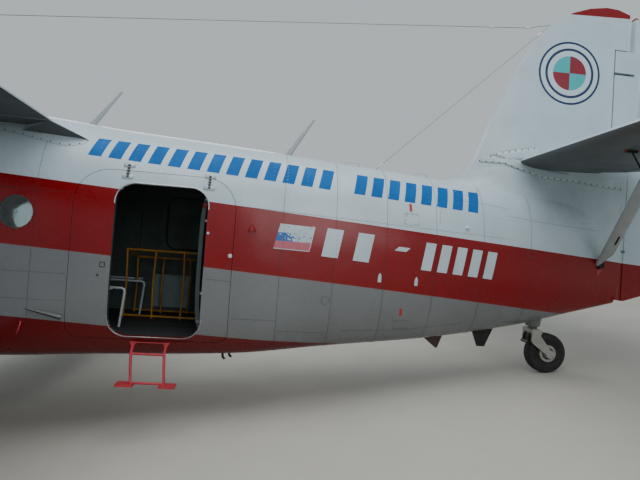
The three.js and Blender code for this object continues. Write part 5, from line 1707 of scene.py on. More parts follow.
    @staticmethod
    def small_fittings():
        """Raised vents, the ledge ahead of the door, drains and a grab loop under the belly."""
        vents = Form()
        for sign in (-1, 1):
            for x, z, width, height in VENTS:
                base, normal = on_hull(x, z - height / 2, sign)
                top, _ = on_hull(x, z + height / 2, sign)
                left, _ = on_hull(x - width / 2, z - height / 2, sign)
                right, _ = on_hull(x + width / 2, z - height / 2, sign)
                nose = base + normal * .022
                vents.add([left - normal * .003, right - normal * .003, top - normal * .003,
                           nose + Vector((-width * .3, 0, 0)), nose + Vector((width * .3, 0, 0))],
                          [(0, 3, 2), (3, 4, 2), (4, 1, 2), (0, 1, 4, 3), (0, 2, 1)])
        bevel(dress(vents, "air_vents", banded_enamel), .002)
        ledge = Form()
        path = [on_hull(x, z, -1, lift)[0]
                for x, z, lift in ((5.59, -.74, -.012), (5.64, -.747, .002), (5.72, -.763, .01),
                                   (5.82, -.782, .015), (5.90, -.799, .018), (5.925, -.804, .018))]
        ledge.tube(path, [.007, .01, .013, .016, .018, .018], 18)
        # The ledge's downward faces take the dark sealant colour: painted shade under the ledge
        dress(ledge, "wall_ledge", [banded_enamel, sealant_and_shade], sharp=60,
              pick=lambda c, n: int(n.z < -.2))
        drains = Form()
        for x, y, z, drop in DRAINS:
            drains.tube([(x, y, z), (x + .01, y, z - drop), (x + .03, y, z - drop - .02)], .012, 12)
        loop = [on_hull(x, z, -1, lift)[0]
                for x, z, lift in ((5.575, -.866, -.004), (5.58, -.88, .012), (5.565, -.93, .016),
                                   (5.545, -.965, .012), (5.54, -.975, -.004))]
        dress(Form().tube(loop, .0075, 12), "belly_grab_loop", ladder_enamel, sharp=60)
        dress(drains, "drain_pipes", black_rubber, sharp=60)


def thicken(piece, depth):
    modifier = piece.modifiers.new("sheet thickness", "SOLIDIFY")
    modifier.thickness = depth
    modifier.offset = 0
    return piece


# Paint films: their thickness, and the shoulder's bars, one place of which is bare
PAINT_FILM = .0009
SHOULDER_BARS = dict(start=6.0, end=9.72, count=22, bare=13, width=.115)


class BIPLANE_OT_markings(bpy.types.Operator):
    """Plain bars, patches and arrows, as thin paint films"""
    bl_idname = "biplane.markings"
    bl_label = "Markings"

    def execute(self, context):
        film, b = PAINT_FILM, SHOULDER_BARS
        for name, sign in SIDES:
            blue, white = Form(), Form()
            for k in range(b["count"]):
                if k != b["bare"]:
                    x = b["start"] + (b["end"] - b["start"]) * k / (b["count"] - 1)
                    self.bar(blue, x, b["width"], BAND_LOW, BAND_TOP, sign, film)
            edge = {"low": [(8.18, -.106), (10.1, -.235)], "top": [(8.2, .163), (10.13, .046)]}
            for x, width in ((8.19, .16), (8.50, .16), (9.21, .11), (9.385, .11), (9.56, .11),
                             (9.735, .11), (9.91, .11)):
                self.bar(white, x, width, edge["low"], edge["top"], sign, film)
            self.bar(white, 8.92, .12, [(8.9, 0), (9.1, -.012)], [(8.9, .04), (9.1, .028)], sign, film)
            for x, z in ((8.786, -.322), (9.172, -.338)):
                patch(white, [(x - .017, z), (x + .017, z), (x + .017, z + .06), (x - .017, z + .06)],
                      sign, film)
                patch(white,
                      [(x - .017, z + .06), (x + .017, z + .06), (x + .004, z + .088),
                       (x - .004, z + .088)], sign, film)
            dress(blue, f"shoulder_bars_{name}", blue_enamel)
            dress(white, f"side_bars_{name}", white_enamel)
            tabs = Form()
            for x, z in ((9.05, -.656), (9.08, .40)):
                patch(tabs, [(x - .015, z), (x + .015, z), (x + .01, z + .08), (x - .02, z + .08)], sign,
                      film)
            dress(tabs, f"red_tabs_{name}", red_enamel)
            pennant = Form()
            patch(pennant, [(7.733, -.062), (8.071, -.071), (8.112, .160), (7.784, .171)], sign, film, 12, 12)
            dress(pennant, f"worn_patch_{name}", worn_decal)
            rim = strip(Form(),
                        skin_line([(8.09, .165), (8.112, .160), (8.071, -.071), (7.733, -.062)], sign),
                        .007, film * 1.6)
            dress(rim, f"patch_edge_{name}", white_enamel)
        return {"FINISHED"}

    @staticmethod
    def bar(form, x, width, low, top, side, film):
        """A slanted bar between a lower and an upper guide line."""
        def on(guide, at):
            (x0, z0), (x1, z1) = guide
            return z0 + (z1 - z0) * (at - x0) / (x1 - x0)
        lean = .045
        patch(form, [(x, on(low, x)), (x + width, on(low, x + width)), (x + width + lean, on(top, x + width)),
                     (x + lean, on(top, x))], side, film, across=5, along=2)


# Aerials. Masts: foot x and z, top x and z. Blades: root's ends in x, tip's middle and chord, root z, tip z
MASTS = ((5.697, 1.03, 5.999, 1.482), (7.8, .9, 8.076, 1.381))
BLADE_AERIALS = ((9.475, 9.705, 9.641, .022, -.93, -1.06), (10.033, 10.30, 10.16, .09, -.8, -1.016))


class BIPLANE_OT_aerials(bpy.types.Operator):
    """Masts, blade aerials and the wire aerials with their insulators"""
    bl_idname = "biplane.aerials"
    bl_label = "Aerials"

    def execute(self, context):
        masts = Form()
        for x0, z0, x1, z1 in MASTS:
            foot, top = Vector((x0, 0, z0)), Vector((x1, 0, z1))
            rings = []
            for share in (0, .5, .97, 1):
                chord = .088 - .058 * share
                middle = foot.lerp(top, share) - Vector((.024 * (1 - share), 0, 0))
                rings.append([middle + Vector((math.cos(t) * chord / 2, math.sin(t) * chord / 5, 0))
                              for t in (2 * math.pi * k / 24 for k in range(24))])
            masts.loft(rings)
        for x, z in ((5.73, 1.062), (7.83, .93)):
            masts.tube([(x - .05, 0, z), (x + .06, 0, z + .004)], .024, 16)
        dress(masts, "whip_masts", grey_enamel, stands_for=["cabin_aerial"])
        blades = Form()
        for front, rear, tip, chord, skin_z, tip_z in BLADE_AERIALS:
            outline = [(front, skin_z + .09), (front, skin_z - .01), (tip - chord / 2, tip_z),
                       (tip + chord / 2, tip_z), (rear, skin_z + .01), (rear, skin_z + .09)]
            blades.prism(outline, -.008, .008)
        raw = blades.raw()
        # The fore aerial's red is darkened almost to black: painted shade under the belly
        bevel(dress(raw, "blade_aerials", [red_lacquer_with_shade, black_rubber],
                    pick=lambda c, n: int(c.x > 9.9)), .005)
        post = Form().tube([(4.0, -1.0, 1.2), (4.01, -1.0, 1.645)], [.016, .009], 16)
        post.turned([(-.01, .0), (-.01, .05), (.01, .04), (.012, 0)],
                    Matrix.Translation((4.0, -1.0, 1.245)) @ Matrix.Rotation(-math.pi / 2, 4, "Y"), 24)
        dress(post, "wire_post", grey_enamel)
        wires, insulators = Form(), Form()
        fin_end = Vector((10.745, 0, 2.75))
        runs = [([Vector((4.01, -1.0, 1.645)), Vector((10.464, -.0, 2.687)), fin_end],
                 ((.035, 1), (.93, 1), (.05, 2))),
                ([Vector((8.799, -.02, .885)), fin_end + Vector((-.03, 0, -.03))], ((.03, 1), (.95, 1)))]
        for points, beads in runs:
            wires.tube(points, .0028, 6)
            for share, leg in beads:
                a, b = points[leg - 1], points[leg]
                at = a.lerp(b, share)
                along = (b - a).normalized()
                turn = Matrix.Translation(at) @ along.to_track_quat("X", "Z").to_matrix().to_4x4()
                insulators.turned([(-.035, .003), (-.03, .01), (-.012, .013), (0, .009), (.012, .013),
                                   (.03, .01), (.035, .003)], turn, 14)
        dress(wires, "aerial_wires", oiled_steel, sharp=80)
        dress(insulators, "aerial_insulators", glazed_porcelain, sharp=60)
        return {"FINISHED"}


# Sewn and stuffed pads: rings and points round each, how square the rim and the corners are, the seam's
# roundness, frames of swelling, and the stitches' half width and depth
PAD = dict(rings=13, points=72, rim=3.4, corner=.3, seam=.02, frames=20, stitch=.012, sink=.3)


def stuffed(size, channels, voxel, cap=.02):
    """A pad sewn at its edges and swollen by its filling, lying flat about its own middle, with
    stitched channels across it at the given lengths."""
    wide, deep, thick = size
    rings = []
    for k in range(PAD["rings"]):
        level = -.985 + 1.97 * k / (PAD["rings"] - 1)
        shrink = (1 - abs(level) ** PAD["rim"]) ** (1 / PAD["rim"])
        inset = PAD["seam"] * shrink
        ring = []
        for i in range(PAD["points"]):
            t = 2 * math.pi * i / PAD["points"]
            c, sn = math.cos(t), math.sin(t)
            pull = 1 - .035 * math.sin(2 * t) ** 2
            x = math.copysign(abs(c) ** PAD["corner"], c) * (wide / 2 - PAD["seam"] + inset) * (2 - pull)
            y = math.copysign(abs(sn) ** PAD["corner"], sn) * (deep / 2 - PAD["seam"] + inset) * (2 - pull)
            ring.append((x * .965, y * .965, level * thick / 2))
        rings.append(ring)
    pad = Form().loft(rings).raw("pad")
    remesh = pad.modifiers.new("even mesh", "REMESH")
    remesh.voxel_size = voxel
    settle(pad)
    start = [v.co.copy() for v in pad.data.vertices]
    cloth = pad.modifiers.new("filling", "CLOTH")
    cloth.settings.use_pressure = True
    cloth.settings.uniform_pressure_force = 4
    cloth.settings.effector_weights.gravity = 0
    cloth.point_cache.frame_start = 1
    cloth.point_cache.frame_end = PAD["frames"]
    for moment in range(1, PAD["frames"] + 1):
        bpy.context.scene.frame_set(moment)
    settle(pad)
    bpy.context.scene.frame_set(1)
    for vertex, rest in zip(pad.data.vertices, start):
        swell = vertex.co - rest
        if swell.length > cap:
            vertex.co = rest + swell * cap / swell.length
    for vertex in pad.data.vertices:
        sink = sum(math.exp(-((vertex.co.x - at) / PAD["stitch"]) ** 2) for at in channels)
        vertex.co.z *= 1 - PAD["sink"] * min(1, sink)
    return pad


def settle(piece):
    """Makes a piece's modifiers real."""
    graph = bpy.context.evaluated_depsgraph_get()
    mesh = bpy.data.meshes.new_from_object(piece.evaluated_get(graph))
    piece.modifiers.clear()
    piece.data = mesh


# Cabin and cockpit fittings
BENCH = dict(x0=3.7, x1=5.75, front=.43, back=.78, seat=-.52, top=-.1, pad=.06)
PILOT = dict(y=.42, x=2.91, seat=.0, back=3.1, top=.62)
CANOPY = [
    (2.13, .64, .70, .30, .48, 2.6, 2.6),
    (2.33, .83, 1.01, .30, .62, 2.6, 2.6),
    (2.56, .93, 1.27, .30, .70, 2.8, 2.8),
    (2.78, .96, 1.38, .30, .72, 3.0, 3.0),
    (3.04, .95, 1.40, .30, .72, 3.0, 3.0),
    (3.30, .90, 1.34, .30, .72, 3.0, 3.0),
]


def wall_line(x, side, low=-.93):
    """Points and normals up the wall and over to the crown of the roof."""
    return ([on_hull(x, z, side) for z in steps(low, .26, .12)]
            + [at_turn(x, math.radians(t), side) for t in steps(14, 90, 4)])


def wall_bar(form, line, width, depth, lift=SKIN + .0005):
    """A raised bar standing in from the inner wall along points and normals of the outer skin."""
    rings = []
    for i, (point, normal) in enumerate(line):
        along = line[min(i + 1, len(line) - 1)][0] - line[max(i - 1, 0)][0]
        across = normal.cross(along).normalized() * width / 2
        base = point - normal * lift
        rings.append([base - across, base + across, base + across - normal * depth,
                      base - across - normal * depth])
    return form.loft(rings)


class BIPLANE_OT_cabin(bpy.types.Operator):
    """Frames, stringers and panels of the cabin, its benches and guard rail"""
    bl_idname = "biplane.cabin"
    bl_label = "Cabin"

    def execute(self, context):
        frames = Form()
        for x in (3.62, 4.31, 5.08, 5.7, 6.07, 6.98, 7.32):
            for side in (-1, 1):
                line = wall_line(x, side)
                if side < 0 and x > CARGO_DOOR["x0"]:
                    line = [spot for spot in line if spot[0].z > CARGO_DOOR["z1"] + .03]
                wall_bar(frames, line, .03, .03)
        for z, ends in ((.66, ((-1, 7.3), (1, 7.3))), (-.34, ((-1, 5.9), (1, 7.3))),
                        (-.7, ((-1, 5.9), (1, 6.25)))):
            for side, x1 in ends:
                wall_bar(frames, [on_hull(x, z, side) for x in steps(3.4, x1, .2)], .022, .018)
        dress(frames, "cabin_frames", cabin_primer)
        locker = Form()
        face = SKIN + .03
        rows = [[on_hull(x, z, 1, -face)[0] for z in steps(-.92, -.5, .07)] for x in steps(6.29, 6.75, .09)]
        locker.loft(rows, capped=False, closed=False)
        lid = thicken(dress(locker, "wall_panel", panel_paint), .012)
        bevel(lid, .01)
        pipes = Form()
        for dx, z0, z1 in ((6.84, -.93, -.47), (6.9, -.93, -.2), (6.94, -.9, .3)):
            pipes.tube([on_hull(dx, z, 1, -SKIN - .03)[0] for z in steps(z0, z1, .1)], .011, 10)
        for x, z in ((6.87, -.62), (6.9, -.55), (6.86, -.8)):
            centre = on_hull(x, z, 1, -SKIN - .05)[0]
            pipes.box(centre - Vector((.05, .025, .035)), centre + Vector((.05, .025, .035)))
        bevel(dress(pipes, "wall_valves", blackened_steel), .004)
        self.benches()
        self.rail()
        return {"FINISHED"}

    @staticmethod
    def benches():
        b = BENCH
        length, middle = b["x1"] - b["x0"], (b["x0"] + b["x1"]) / 2
        channels = [length * share for share in (-.25, 0, .25)]
        seat = stuffed((length, b["back"] - b["front"] - .02, b["pad"]), channels, .013)
        rest = stuffed((length, b["top"] - b["seat"] - .12, .045), channels, .013, .014)
        seat.data.transform(Matrix.Translation((middle, (b["front"] + b["back"]) / 2 - .02, b["seat"] + .03)))
        rest.data.transform(Matrix.Translation((middle, b["back"] - .03, (b["seat"] + b["top"]) / 2 + .05))
                            @ Matrix.Rotation(math.pi / 2 - .1, 4, "X"))
        tubes = Form()
        for reach, sign in ((6.28, 1), (6.31, -1)):
            y, z = sign * (b["front"] - .005), b["seat"] - .045
            tubes.tube([(b["x0"] - .03, y, z), (reach - .03, y, z), (reach - .005, y, z - .012),
                        (reach, y, z - .04), (reach - .03, y, CABIN_FLOOR + .004)], .0125, 14)
            tubes.tube([(b["x0"] - .03, sign * .76, z), (reach - .1, sign * .76, z)], .0125, 14)
            tubes.tube([(b["x0"], sign * .79, b["top"] + .01), (b["x1"], sign * .79, b["top"] + .01)],
                       .0125, 14)
            for k in range(5):
                x = b["x0"] + .03 + (b["x1"] - b["x0"] - .06) * k / 4
                tubes.tube([(x, y, z), (x - .02, y, CABIN_FLOOR + .004)], .011, 12)
                tubes.tube([(x, y, z), (x, sign * .76, z)], .011, 12)
                tubes.tube([(x, sign * .76, z), (x, sign * .79, b["top"] + .01)], .011, 12)
                tubes.tube([(x, y, z - .02), (x, sign * .8, CABIN_FLOOR + .12)], .008, 10)
            tubes.tube([(reach - .1, y, z), (reach - .1, sign * .76, z)], .011, 12)
        dress(tubes, "bench_frames", light_enamel, sharp=60)
        for sign, side in ((-1, "left"), (1, "right")):
            for raw, part in ((seat, "seat"), (rest, "back")):
                blank = mirror_twin(raw) if sign < 0 else copied(raw)
                stands = [f"bench_{side}"] if part == "seat" else []
                dress(blank, f"bench_{part}_pad_{side}", wool_cloth, sharp=70,
                                stands_for=stands)
        for raw in (seat, rest):
            bpy.data.objects.remove(raw)

    @staticmethod
    def rail():
        xs, low = (6.13, 6.44, 6.75, 7.06), -.925
        tubes = Form()
        for y, top in ((.2, -.195), (.64, -.29)):
            tubes.tube([(xs[0] - .012, y, top), (xs[-1] + .012, y, top)], .012, 16)
            tubes.tube([(xs[0] - .012, y, low), (xs[-1] + .012, y, low)], .012, 16)
            for k, x in enumerate(xs):
                bow = .012 * (-1) ** k
                tubes.tube([(x, y, CABIN_FLOOR + .001), (x + bow, y, (top + low) / 2), (x, y, top)],
                           .0105, 16)
        for x in (xs[0], xs[-1]):
            tubes.tube([(x, .2, -.195), (x, .64, -.29)], .014, 16)
        dress(tubes, "guard_rail_tubes", yellow_enamel, stands_for=["guard_rail"],
              sharp=60)


class BIPLANE_OT_cockpit(bpy.types.Operator):
    """Canopy frame and glazing, pilots' seats and instruments"""
    bl_idname = "biplane.cockpit"
    bl_label = "Cockpit"

    def execute(self, context):
        self.canopy()
        self.seats()
        self.dials()
        return {"FINISHED"}

    @staticmethod
    def canopy():
        def shell(outer, inner, sill):
            shape = carve(hull_loft(2.13 + outer, 3.3 - outer, outer, CANOPY),
                          Form().box((0, -2, SILL_Z + sill + outer), (9, 2, 3)), operation="INTERSECT")
            return carve(shape, hull_loft(2.13 + inner, 3.3 - inner, inner, CANOPY))
        bars = Form()
        for x in (2.33, 2.62, 2.96):
            bars.box((x - .022, -2, 0), (x + .022, 2, 3))
        bars.box((3.2, -2, 0), (3.4, 2, 3))
        slabs = [bars.raw(), Form().box((0, -.022, 0), (9, .022, 3)).raw(),
                 Form().box((0, -2, 0), (9, 2, SILL_Z + .07)).raw()]
        grid = slabs[0]
        for slab in slabs[1:]:
            carve(grid, slab, operation="UNION")
        frame_shell = carve(shell(0, .03, .0003), grid, operation="INTERSECT")
        passage = Form().box((3, -.25, 0), (3.6, .25, .9)).raw
        carve(frame_shell, passage())
        flange = carve(Form().box((2.14, -.88, SILL_Z + .0003), (3.3, .88, SILL_Z + .024)),
                       Form().box((2.23, -.7, 0), (3.4, .7, 3)))
        carve(flange, hull_loft(2.13, 3.3, .01, CANOPY), operation="INTERSECT")
        carve(frame_shell, carve(flange, passage()), operation="UNION")
        bevel(dress(frame_shell, "canopy_bars", white_enamel, stands_for=["canopy_frame"]), .003)
        panes = carve(shell(.0303, .036, .0003), passage())
        dress(panes, "canopy_panes", clear_acrylic, stands_for=["canopy_glass"])

    @staticmethod
    def seats():
        p = PILOT
        cushion = stuffed((.42, .4, .1), (0,), .009)
        cushion.data.transform(Matrix.Translation((p["x"] + .02, p["y"], p["seat"] + .015)))
        rest = stuffed((.4, .56, .08), (), .009)
        rest.data.transform(Matrix.Translation((p["back"] - .04, p["y"], .36))
                            @ Matrix.Rotation(-math.pi / 2 + .06, 4, "Y")
                            @ Matrix.Rotation(math.pi / 2, 4, "Z"))
        pan = Form()
        for low, high in (((2.7, .2, -.08), (3.12, .64, -.045)), ((2.7, .2, -.06), (3.12, .21, .03)),
                          ((2.7, .63, -.06), (3.12, .64, .03)), ((3.11, .2, -.07), (3.13, .64, .62))):
            pan.box(low, high)
        pan.tube([(2.92, .42, COCKPIT_FLOOR + .001), (2.92, .42, -.06)], .06, 24)
        pan.box((2.78, .29, COCKPIT_FLOOR + .001), (3.06, .55, COCKPIT_FLOOR + .02))
        for y in (.225, .615):
            pan.tube([(2.9, y, .05), (3.12, y, .16)], .012, 12)
        shell = pan.raw()
        for sign, side in ((-1, "left"), (1, "right")):
            for raw, part, skin in ((shell, "shell", grey_enamel), (cushion, "seat_pad", wool_cloth),
                                    (rest, "back_pad", wool_cloth)):
                blank = mirror_twin(raw) if sign < 0 else copied(raw)
                made = dress(blank, f"pilot_{part}_{side}", skin,
                             sharp=45 if part == "shell" else 70,
                             stands_for=[f"pilot_seat_{side}"] if part == "seat_pad" else ())
                if part == "shell":
                    bevel(made, .004)
        for raw in (shell, cushion, rest):
            bpy.data.objects.remove(raw)

    @staticmethod
    def dials():
        bezels, faces, needles = Form(), Form(), Form()
        for sign in (-1, 1):
            for k in range(8):
                y, z = sign * (.16 + .125 * (k % 4)), .36 - .13 * (k // 4)
                at = Matrix.Translation((2.441, y, z))
                bezels.turned([(-.004, .056), (.014, .056), (.014, .046), (.006, .045), (-.004, .045)],
                              at, 32, looped=True)
                faces.turned([(.001, 0), (.001, .046), (.003, .046), (.003, 0)], at, 32)
                turn = at @ Matrix.Rotation(1.1 * k + sign, 4, "X")
                needles.add([turn @ Vector(p)
                             for p in ((.0045, -.003, -.01), (.0045, .003, -.01), (.0045, 0, .036))],
                            [(0, 1, 2)])
                for tick in range(12):
                    mark = at @ Matrix.Rotation(tick * math.pi / 6, 4, "X")
                    needles.add([mark @ Vector(p)
                                 for p in ((.0042, -.0015, .036), (.0042, .0015, .036),
                                           (.0042, .0015, .043), (.0042, -.0015, .043))], [(0, 1, 2, 3)])
        dress(bezels, "dial_bezels", black_rubber)
        dress(faces, "dial_faces", crackle_lacquer)
        dress(needles, "dial_marks", white_enamel)


# Height of the fin fillet's upper edge, by length: (x, z)
FILLET_TOP = [(10.0, 1.04), (10.26, 1.04), (10.43, 1.0), (10.7, .94), (11.1, .925), (11.45, .895),
              (11.7, .883)]


# Windows, fairings and small lamps
class BIPLANE_OT_trim(bpy.types.Operator):
    """Cabin windows, root fairings, strut fittings, ladder and lamps"""
    bl_idname = "biplane.trim"
    bl_label = "Windows, Fairings and Fittings"

    def execute(self, context):
        self.windows()
        self.wing_root()
        self.fin_fillet()
        self.tail_root()
        self.strut_ends()
        self.ladder()
        self.lamps()
        return {"FINISHED"}

    @staticmethod
    def windows():
        panes, rings, screws = Form(), Form(), Form()
        for x in WINDOW["xs"]:
            for side in (-1, 1):
                centre, normal = on_hull(x, WINDOW["z"], side)
                face = Matrix.Translation(centre) @ normal.to_track_quat("X", "Z").to_matrix().to_4x4()
                reach = WINDOW["radius"]
                panes.turned([(-.012, 0), (-.012, reach - .0005), (-.006, reach - .0005),
                              (-.003, reach * .6), (-.002, 0)], face, 48)
                rings.turned([(-SKIN - .006, reach + .022), (-SKIN + .001, reach + .022),
                              (-SKIN + .001, reach - .001), (-.013, reach - .001), (-.013, reach - .008),
                              (-SKIN - .006, reach - .008)], face, 48, looped=True)
                spots = [(face
                          @ Vector((.0005, math.cos(t) * (reach + .016), math.sin(t) * (reach + .016))),
                          normal) for t in (2 * math.pi * k / 16 for k in range(16))]
                rivet_heads(screws, spots, .0055)
        dress(panes, "cabin_panes", clear_acrylic)
        dress(rings, "pane_rings", cabin_primer)
        dress(screws, "pane_screws", blackened_steel, sharp=80)

    @staticmethod
    def wing_root():
        """The plate over the joint of upper wing and roof, its screws, and the small fairing behind."""
        edge = [(3.62, .862), (4.2, .856), (4.8, .838), (5.197, .824), (5.375, .803), (5.56, .762),
                (5.741, .731), (5.844, .732), (5.938, .764), (5.961, .799), (5.878, .834), (5.699, .845)]
        for name, sign in SIDES:
            lap, heads = Form(), Form()
            line = skin_line(edge, sign, .04)
            strip(lap, line, sizes().seam, .0006)
            rivet_heads(heads,
                        [(p + n.cross(Vector((1, 0, 0))) * sign * -.016, n)
                         for p, n in spaced(line, .085)], .0075)
            dress(lap, f"wing_root_edge_{name}", sealant_and_shade)
            dress(heads, f"wing_root_screws_{name}", blackened_steel, sharp=80)
            tip = on_hull(5.955, .815, sign, .002)[0]
            tail = Form().add([(5.3, sign * .45, 1.03), (5.69, sign * .885, .932),
                               (5.69, sign * .885, .921), (5.35, sign * .7, .84), tip],
                              [(0, 1, 4), (1, 2, 4), (2, 3, 4), (0, 4, 3), (0, 3, 2, 1)])
            # Downward faces take the underside grey, which holds painted shade
            covers = [finish(white_enamel), finish(grey_fabric_with_shade)]
            dress(tail, f"wing_root_tail_{name}", covers, sharp=50,
                  pick=lambda c, n: int(n.z < -.35))

    @staticmethod
    def fin_fillet():
        """The smooth fairing that carries the tail cone's skin up into the fin."""
        rings = []
        for x in steps(9.62, 11.69, .09):
            row = eased(HULL, x)
            share = min(1, (x - 9.62) / .5)
            high = row[2] + .012 + (eased(FILLET_TOP, max(x, 10))[1] - row[2] - .012) * share
            low = row[4] + (.62 - .12 * share) * (row[2] - row[4])
            start = on_hull(x, low, 1, .0008)[0]
            end = flank(x, high, 1, .0006)[0]
            knee = Vector((x, end.y + .012, low + (high - low) * .62))
            half = [start * (1 - t) ** 2 + knee * 2 * t * (1 - t) + end * t * t
                    for t in (k / 10 for k in range(11))]
            rings.append(half + [Vector((p.x, -p.y, p.z)) for p in reversed(half)])
        dress(Form().loft(rings), "fin_fillet", white_enamel, sharp=60)

    @staticmethod
    def tail_root():
        """Screwed plates round the root of the tailplane, on the fin's flank."""
        low = [(9.98, 1.07), (10.257, 1.07), (10.427, 1.016), (10.707, .945), (11.094, .93), (11.451, .9),
               (11.7, .888)]
        high = [(10.0, 1.14), (10.3, 1.16), (10.43, 1.12), (10.63, 1.06), (10.95, 1.03), (11.5, 1.0),
                (11.7, .99)]
        cap = [(10.1, 1.16), (10.201, 1.202), (10.42, 1.255), (10.65, 1.30), (10.66, 1.285)]
        for name, sign in SIDES:
            sheet, heads, lap = Form(), Form(), Form()
            rings = []
            for (x0, z0), (x1, z1) in zip(low, high):
                rings.append([flank(x0 + (x1 - x0) * k / 4, z0 + (z1 - z0) * k / 4, sign, .0012)[0]
                              for k in range(5)])
            sheet.loft(rings, capped=False, closed=False)
            top = []
            for x, z in cap:
                top.append([flank(x + (10.5 - x) * .25 * k / 3 + .02 * k, z - (z - 1.13) * k / 3, sign,
                                  .0012)[0] for k in range(4)])
            sheet.loft(top, capped=False, closed=False)
            for corners, offset in ((low, .016), (cap, -.014)):
                line = []
                for a, b in zip(corners, corners[1:]):
                    line += [flank(a[0] + (b[0] - a[0]) * k / 4, a[1] + (b[1] - a[1]) * k / 4, sign)
                             for k in range(4)]
                line.append(flank(*corners[-1], sign))
                strip(lap, line, sizes().seam, .0014)
                rivet_heads(heads,
                            [(p + Vector((0, 0, offset)) + n * .0014, n) for p, n in spaced(line, .075)],
                            .0085)
            thicken(dress(sheet, f"tailplane_root_plates_{name}", white_enamel,
                          sharp=60), .0008)
            dress(heads, f"tailplane_root_screws_{name}", blackened_steel, sharp=80)
            dress(lap, f"tailplane_root_edge_{name}", sealant_and_shade)

    @staticmethod
    def strut_ends():
        dark, pale = Form(), Form()
        for sign in (-1, 1):
            foot = Vector((11.425, sign * .185, .022))
            for dz in (-.035, -.01, .015):
                dark.tube([foot + Vector((-.03, 0, dz)), foot + Vector((.035, 0, dz + .004))], .013, 14)
            dark.box(foot + Vector((-.03, -.014, -.06)), foot + Vector((.012, .014, .02)))
            start, end = Vector(TAIL_STRUT["foot"]), Vector(TAIL_STRUT["head"])
            # A dark steel bar on the strut's lower face stands for its slot; its black is painted shade in
            # the slot
            face = Vector((.012, .28 * TAIL_STRUT["thick"], -.42 * TAIL_STRUT["thick"]))
            slot_line = [start.lerp(end, share) + face for share in (.235, .27, .305)]
            dark.tube([Vector((p.x, sign * p.y, p.z)) for p in slot_line], .009, 12)
            base, normal = on_hull(11.43, -.06, sign, .002)
            pale.add([base + Vector((-.045, 0, .05)), base + Vector((.05, 0, .045)),
                      base + Vector((-.03, 0, -.075)), base + normal * .006 + Vector((-.035, 0, .04)),
                      base + normal * .006 + Vector((.04, 0, .037)),
                      base + normal * .006 + Vector((-.025, 0, -.06))],
                     [(0, 1, 2), (3, 5, 4), (0, 3, 4, 1), (1, 4, 5, 2), (2, 5, 3, 0)])
            knee = Vector((10.86, sign * 1.3, 1.05))
            dark.tube([knee + Vector((-.05, 0, 0)), knee + Vector((.05, 0, 0))], .028, 16)
            dark.box(knee + Vector((-.03, -.02, 0)), knee + Vector((.03, .02, .05)))
            arm = start.lerp(end, .71)
            dark.tube([knee + Vector((0, 0, -.01)), Vector((arm.x + .03, sign * arm.y, arm.z))], .007, 10)
            pale.turned([(-.062, 0), (-.062, .016), (-.05, .018), (-.05, 0)], Matrix.Translation(knee), 16)
        bevel(dress(dark, "strut_end_fittings", blackened_steel), .002)
        dress(pale, "strut_end_plates", red_enamel)

    @staticmethod
    def ladder():
        tubes = Form()
        for i, x in enumerate((6.495, 6.785)):
            foot = Vector((x + .075, -.95, -1.35))
            grip, normal = on_hull(x + .035, -1.02, -1, .014)
            tubes.tube([foot, Vector((x + .06, -.93, -1.2)), Vector((x + .048, -.9, -1.09)), grip], .0125, 16)
            plate = ((-.032, -.008), (.032, -.008), (.032, .004), (-.032, .004))
            neck = ((-.012, -.008), (.012, -.008), (.012, .012), (-.012, .012))
            tubes.loft([[grip + normal * out + Vector((dx, 0, dz)) for dx, out in outline]
                        for dz, outline in ((.026, plate), (-.012, neck))])
            ends = (-.1, .05) if i == 0 else (-.02, .12)
            tubes.box((x + .055 + ends[0], -1.01, -1.36), (x + .055 + ends[1], -.89, -1.34))
        for z, y, shift in ((-1.09, -.9, .048), (-1.335, -.95, .073)):
            tubes.tube([(6.495 + shift, y, z), (6.785 + shift, y, z)], .011, 14)
        hooks = [on_hull(x, -1.0, -1, .012)[0] for x in (6.53, 6.82)]
        tubes.tube(hooks, .004, 8)
        bevel(dress(tubes, "ladder_tubes", ladder_enamel, stands_for=["boarding_ladder"]), .003)

    @staticmethod
    def lamps():
        """Wing tip lamps and the air data boom."""
        for name, at, skin in (("tip_lamp_left", (3.95, -9.065, 1.44), red_enamel),
                               ("tip_lamp_right", (3.95, 9.065, 1.44), green_glass)):
            place = Matrix.Translation(at)
            lens = Form().turned([(-.06, 0), (-.05, .014), (-.02, .022), (.02, .022), (.055, .012),
                                  (.06, 0)], place, 24)
            dress(lens, name, skin)
        boom = Form().tube([(3.36, -8.0, 1.395), (2.95, -8.0, 1.395)], [.02, .014], 16)
        boom.tube([(2.97, -8.0, 1.395), (2.8, -8.0, 1.395)], .008, 12)
        dress(boom, "air_data_boom", bare_aluminium, sharp=60)


def flank(x, z, side, proud=0):
    """The vertical tail's point and normal at a length and height, on one side."""
    _, root, tip = eased(FIN_HALF, x)
    share = max(0, (z - 1) / 2.1)
    return Vector((x, side * (root + (tip - root) * share + proud), z)), Vector((0, side, 0))


class BIPLANE_PT_parts(bpy.types.Panel):
    """Every group of the biplane"""
    bl_idname = "BIPLANE_PT_parts"
    bl_label = "Utility Biplane"
    bl_space_type = "VIEW_3D"
    bl_region_type = "UI"
    bl_category = "Biplane"

    def draw(self, context):
        for settings in ("biplane_paint", "biplane_sizes", "biplane_stage"):
            group = getattr(context.scene, settings)
            for key in group.__annotations__:
                self.layout.prop(group, key)
        for operator in OPERATORS:
            self.layout.operator(operator.bl_idname)


OPERATORS = [BIPLANE_OT_stage, BIPLANE_OT_fuselage, BIPLANE_OT_doors, BIPLANE_OT_wings, BIPLANE_OT_tail,
             BIPLANE_OT_struts, BIPLANE_OT_gear, BIPLANE_OT_power, BIPLANE_OT_interior,
             BIPLANE_OT_skin_details, BIPLANE_OT_markings, BIPLANE_OT_aerials, BIPLANE_OT_cabin,
             BIPLANE_OT_cockpit, BIPLANE_OT_trim]
CLASSES = [BiplanePaint, BiplaneSizes, BiplaneStage, *OPERATORS, BIPLANE_PT_parts]


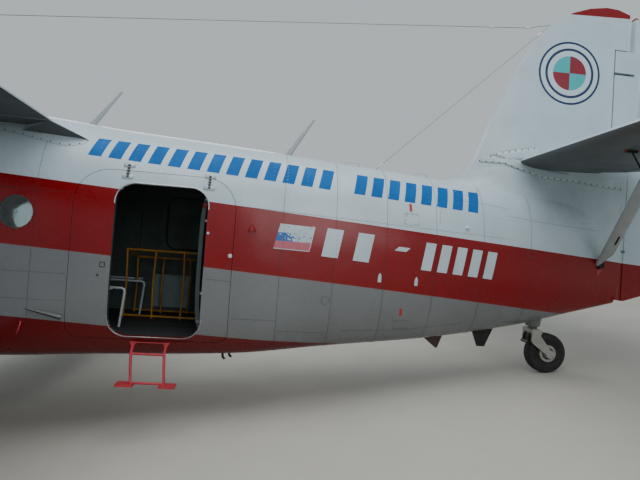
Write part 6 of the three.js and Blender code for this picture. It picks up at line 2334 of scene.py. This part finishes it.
def register():
    for entry in CLASSES:
        bpy.utils.register_class(entry)
    bpy.types.Scene.biplane_paint = bpy.props.PointerProperty(type=BiplanePaint)
    bpy.types.Scene.biplane_sizes = bpy.props.PointerProperty(type=BiplaneSizes)
    bpy.types.Scene.biplane_stage = bpy.props.PointerProperty(type=BiplaneStage)


def unregister():
    del bpy.types.Scene.biplane_paint
    del bpy.types.Scene.biplane_sizes
    del bpy.types.Scene.biplane_stage
    for entry in reversed(CLASSES):
        bpy.utils.unregister_class(entry)


def main():
    register()
    for operator in OPERATORS:
        group, call = operator.bl_idname.split(".")
        getattr(getattr(bpy.ops, group), call)()


if __name__ == "__main__":
    main()
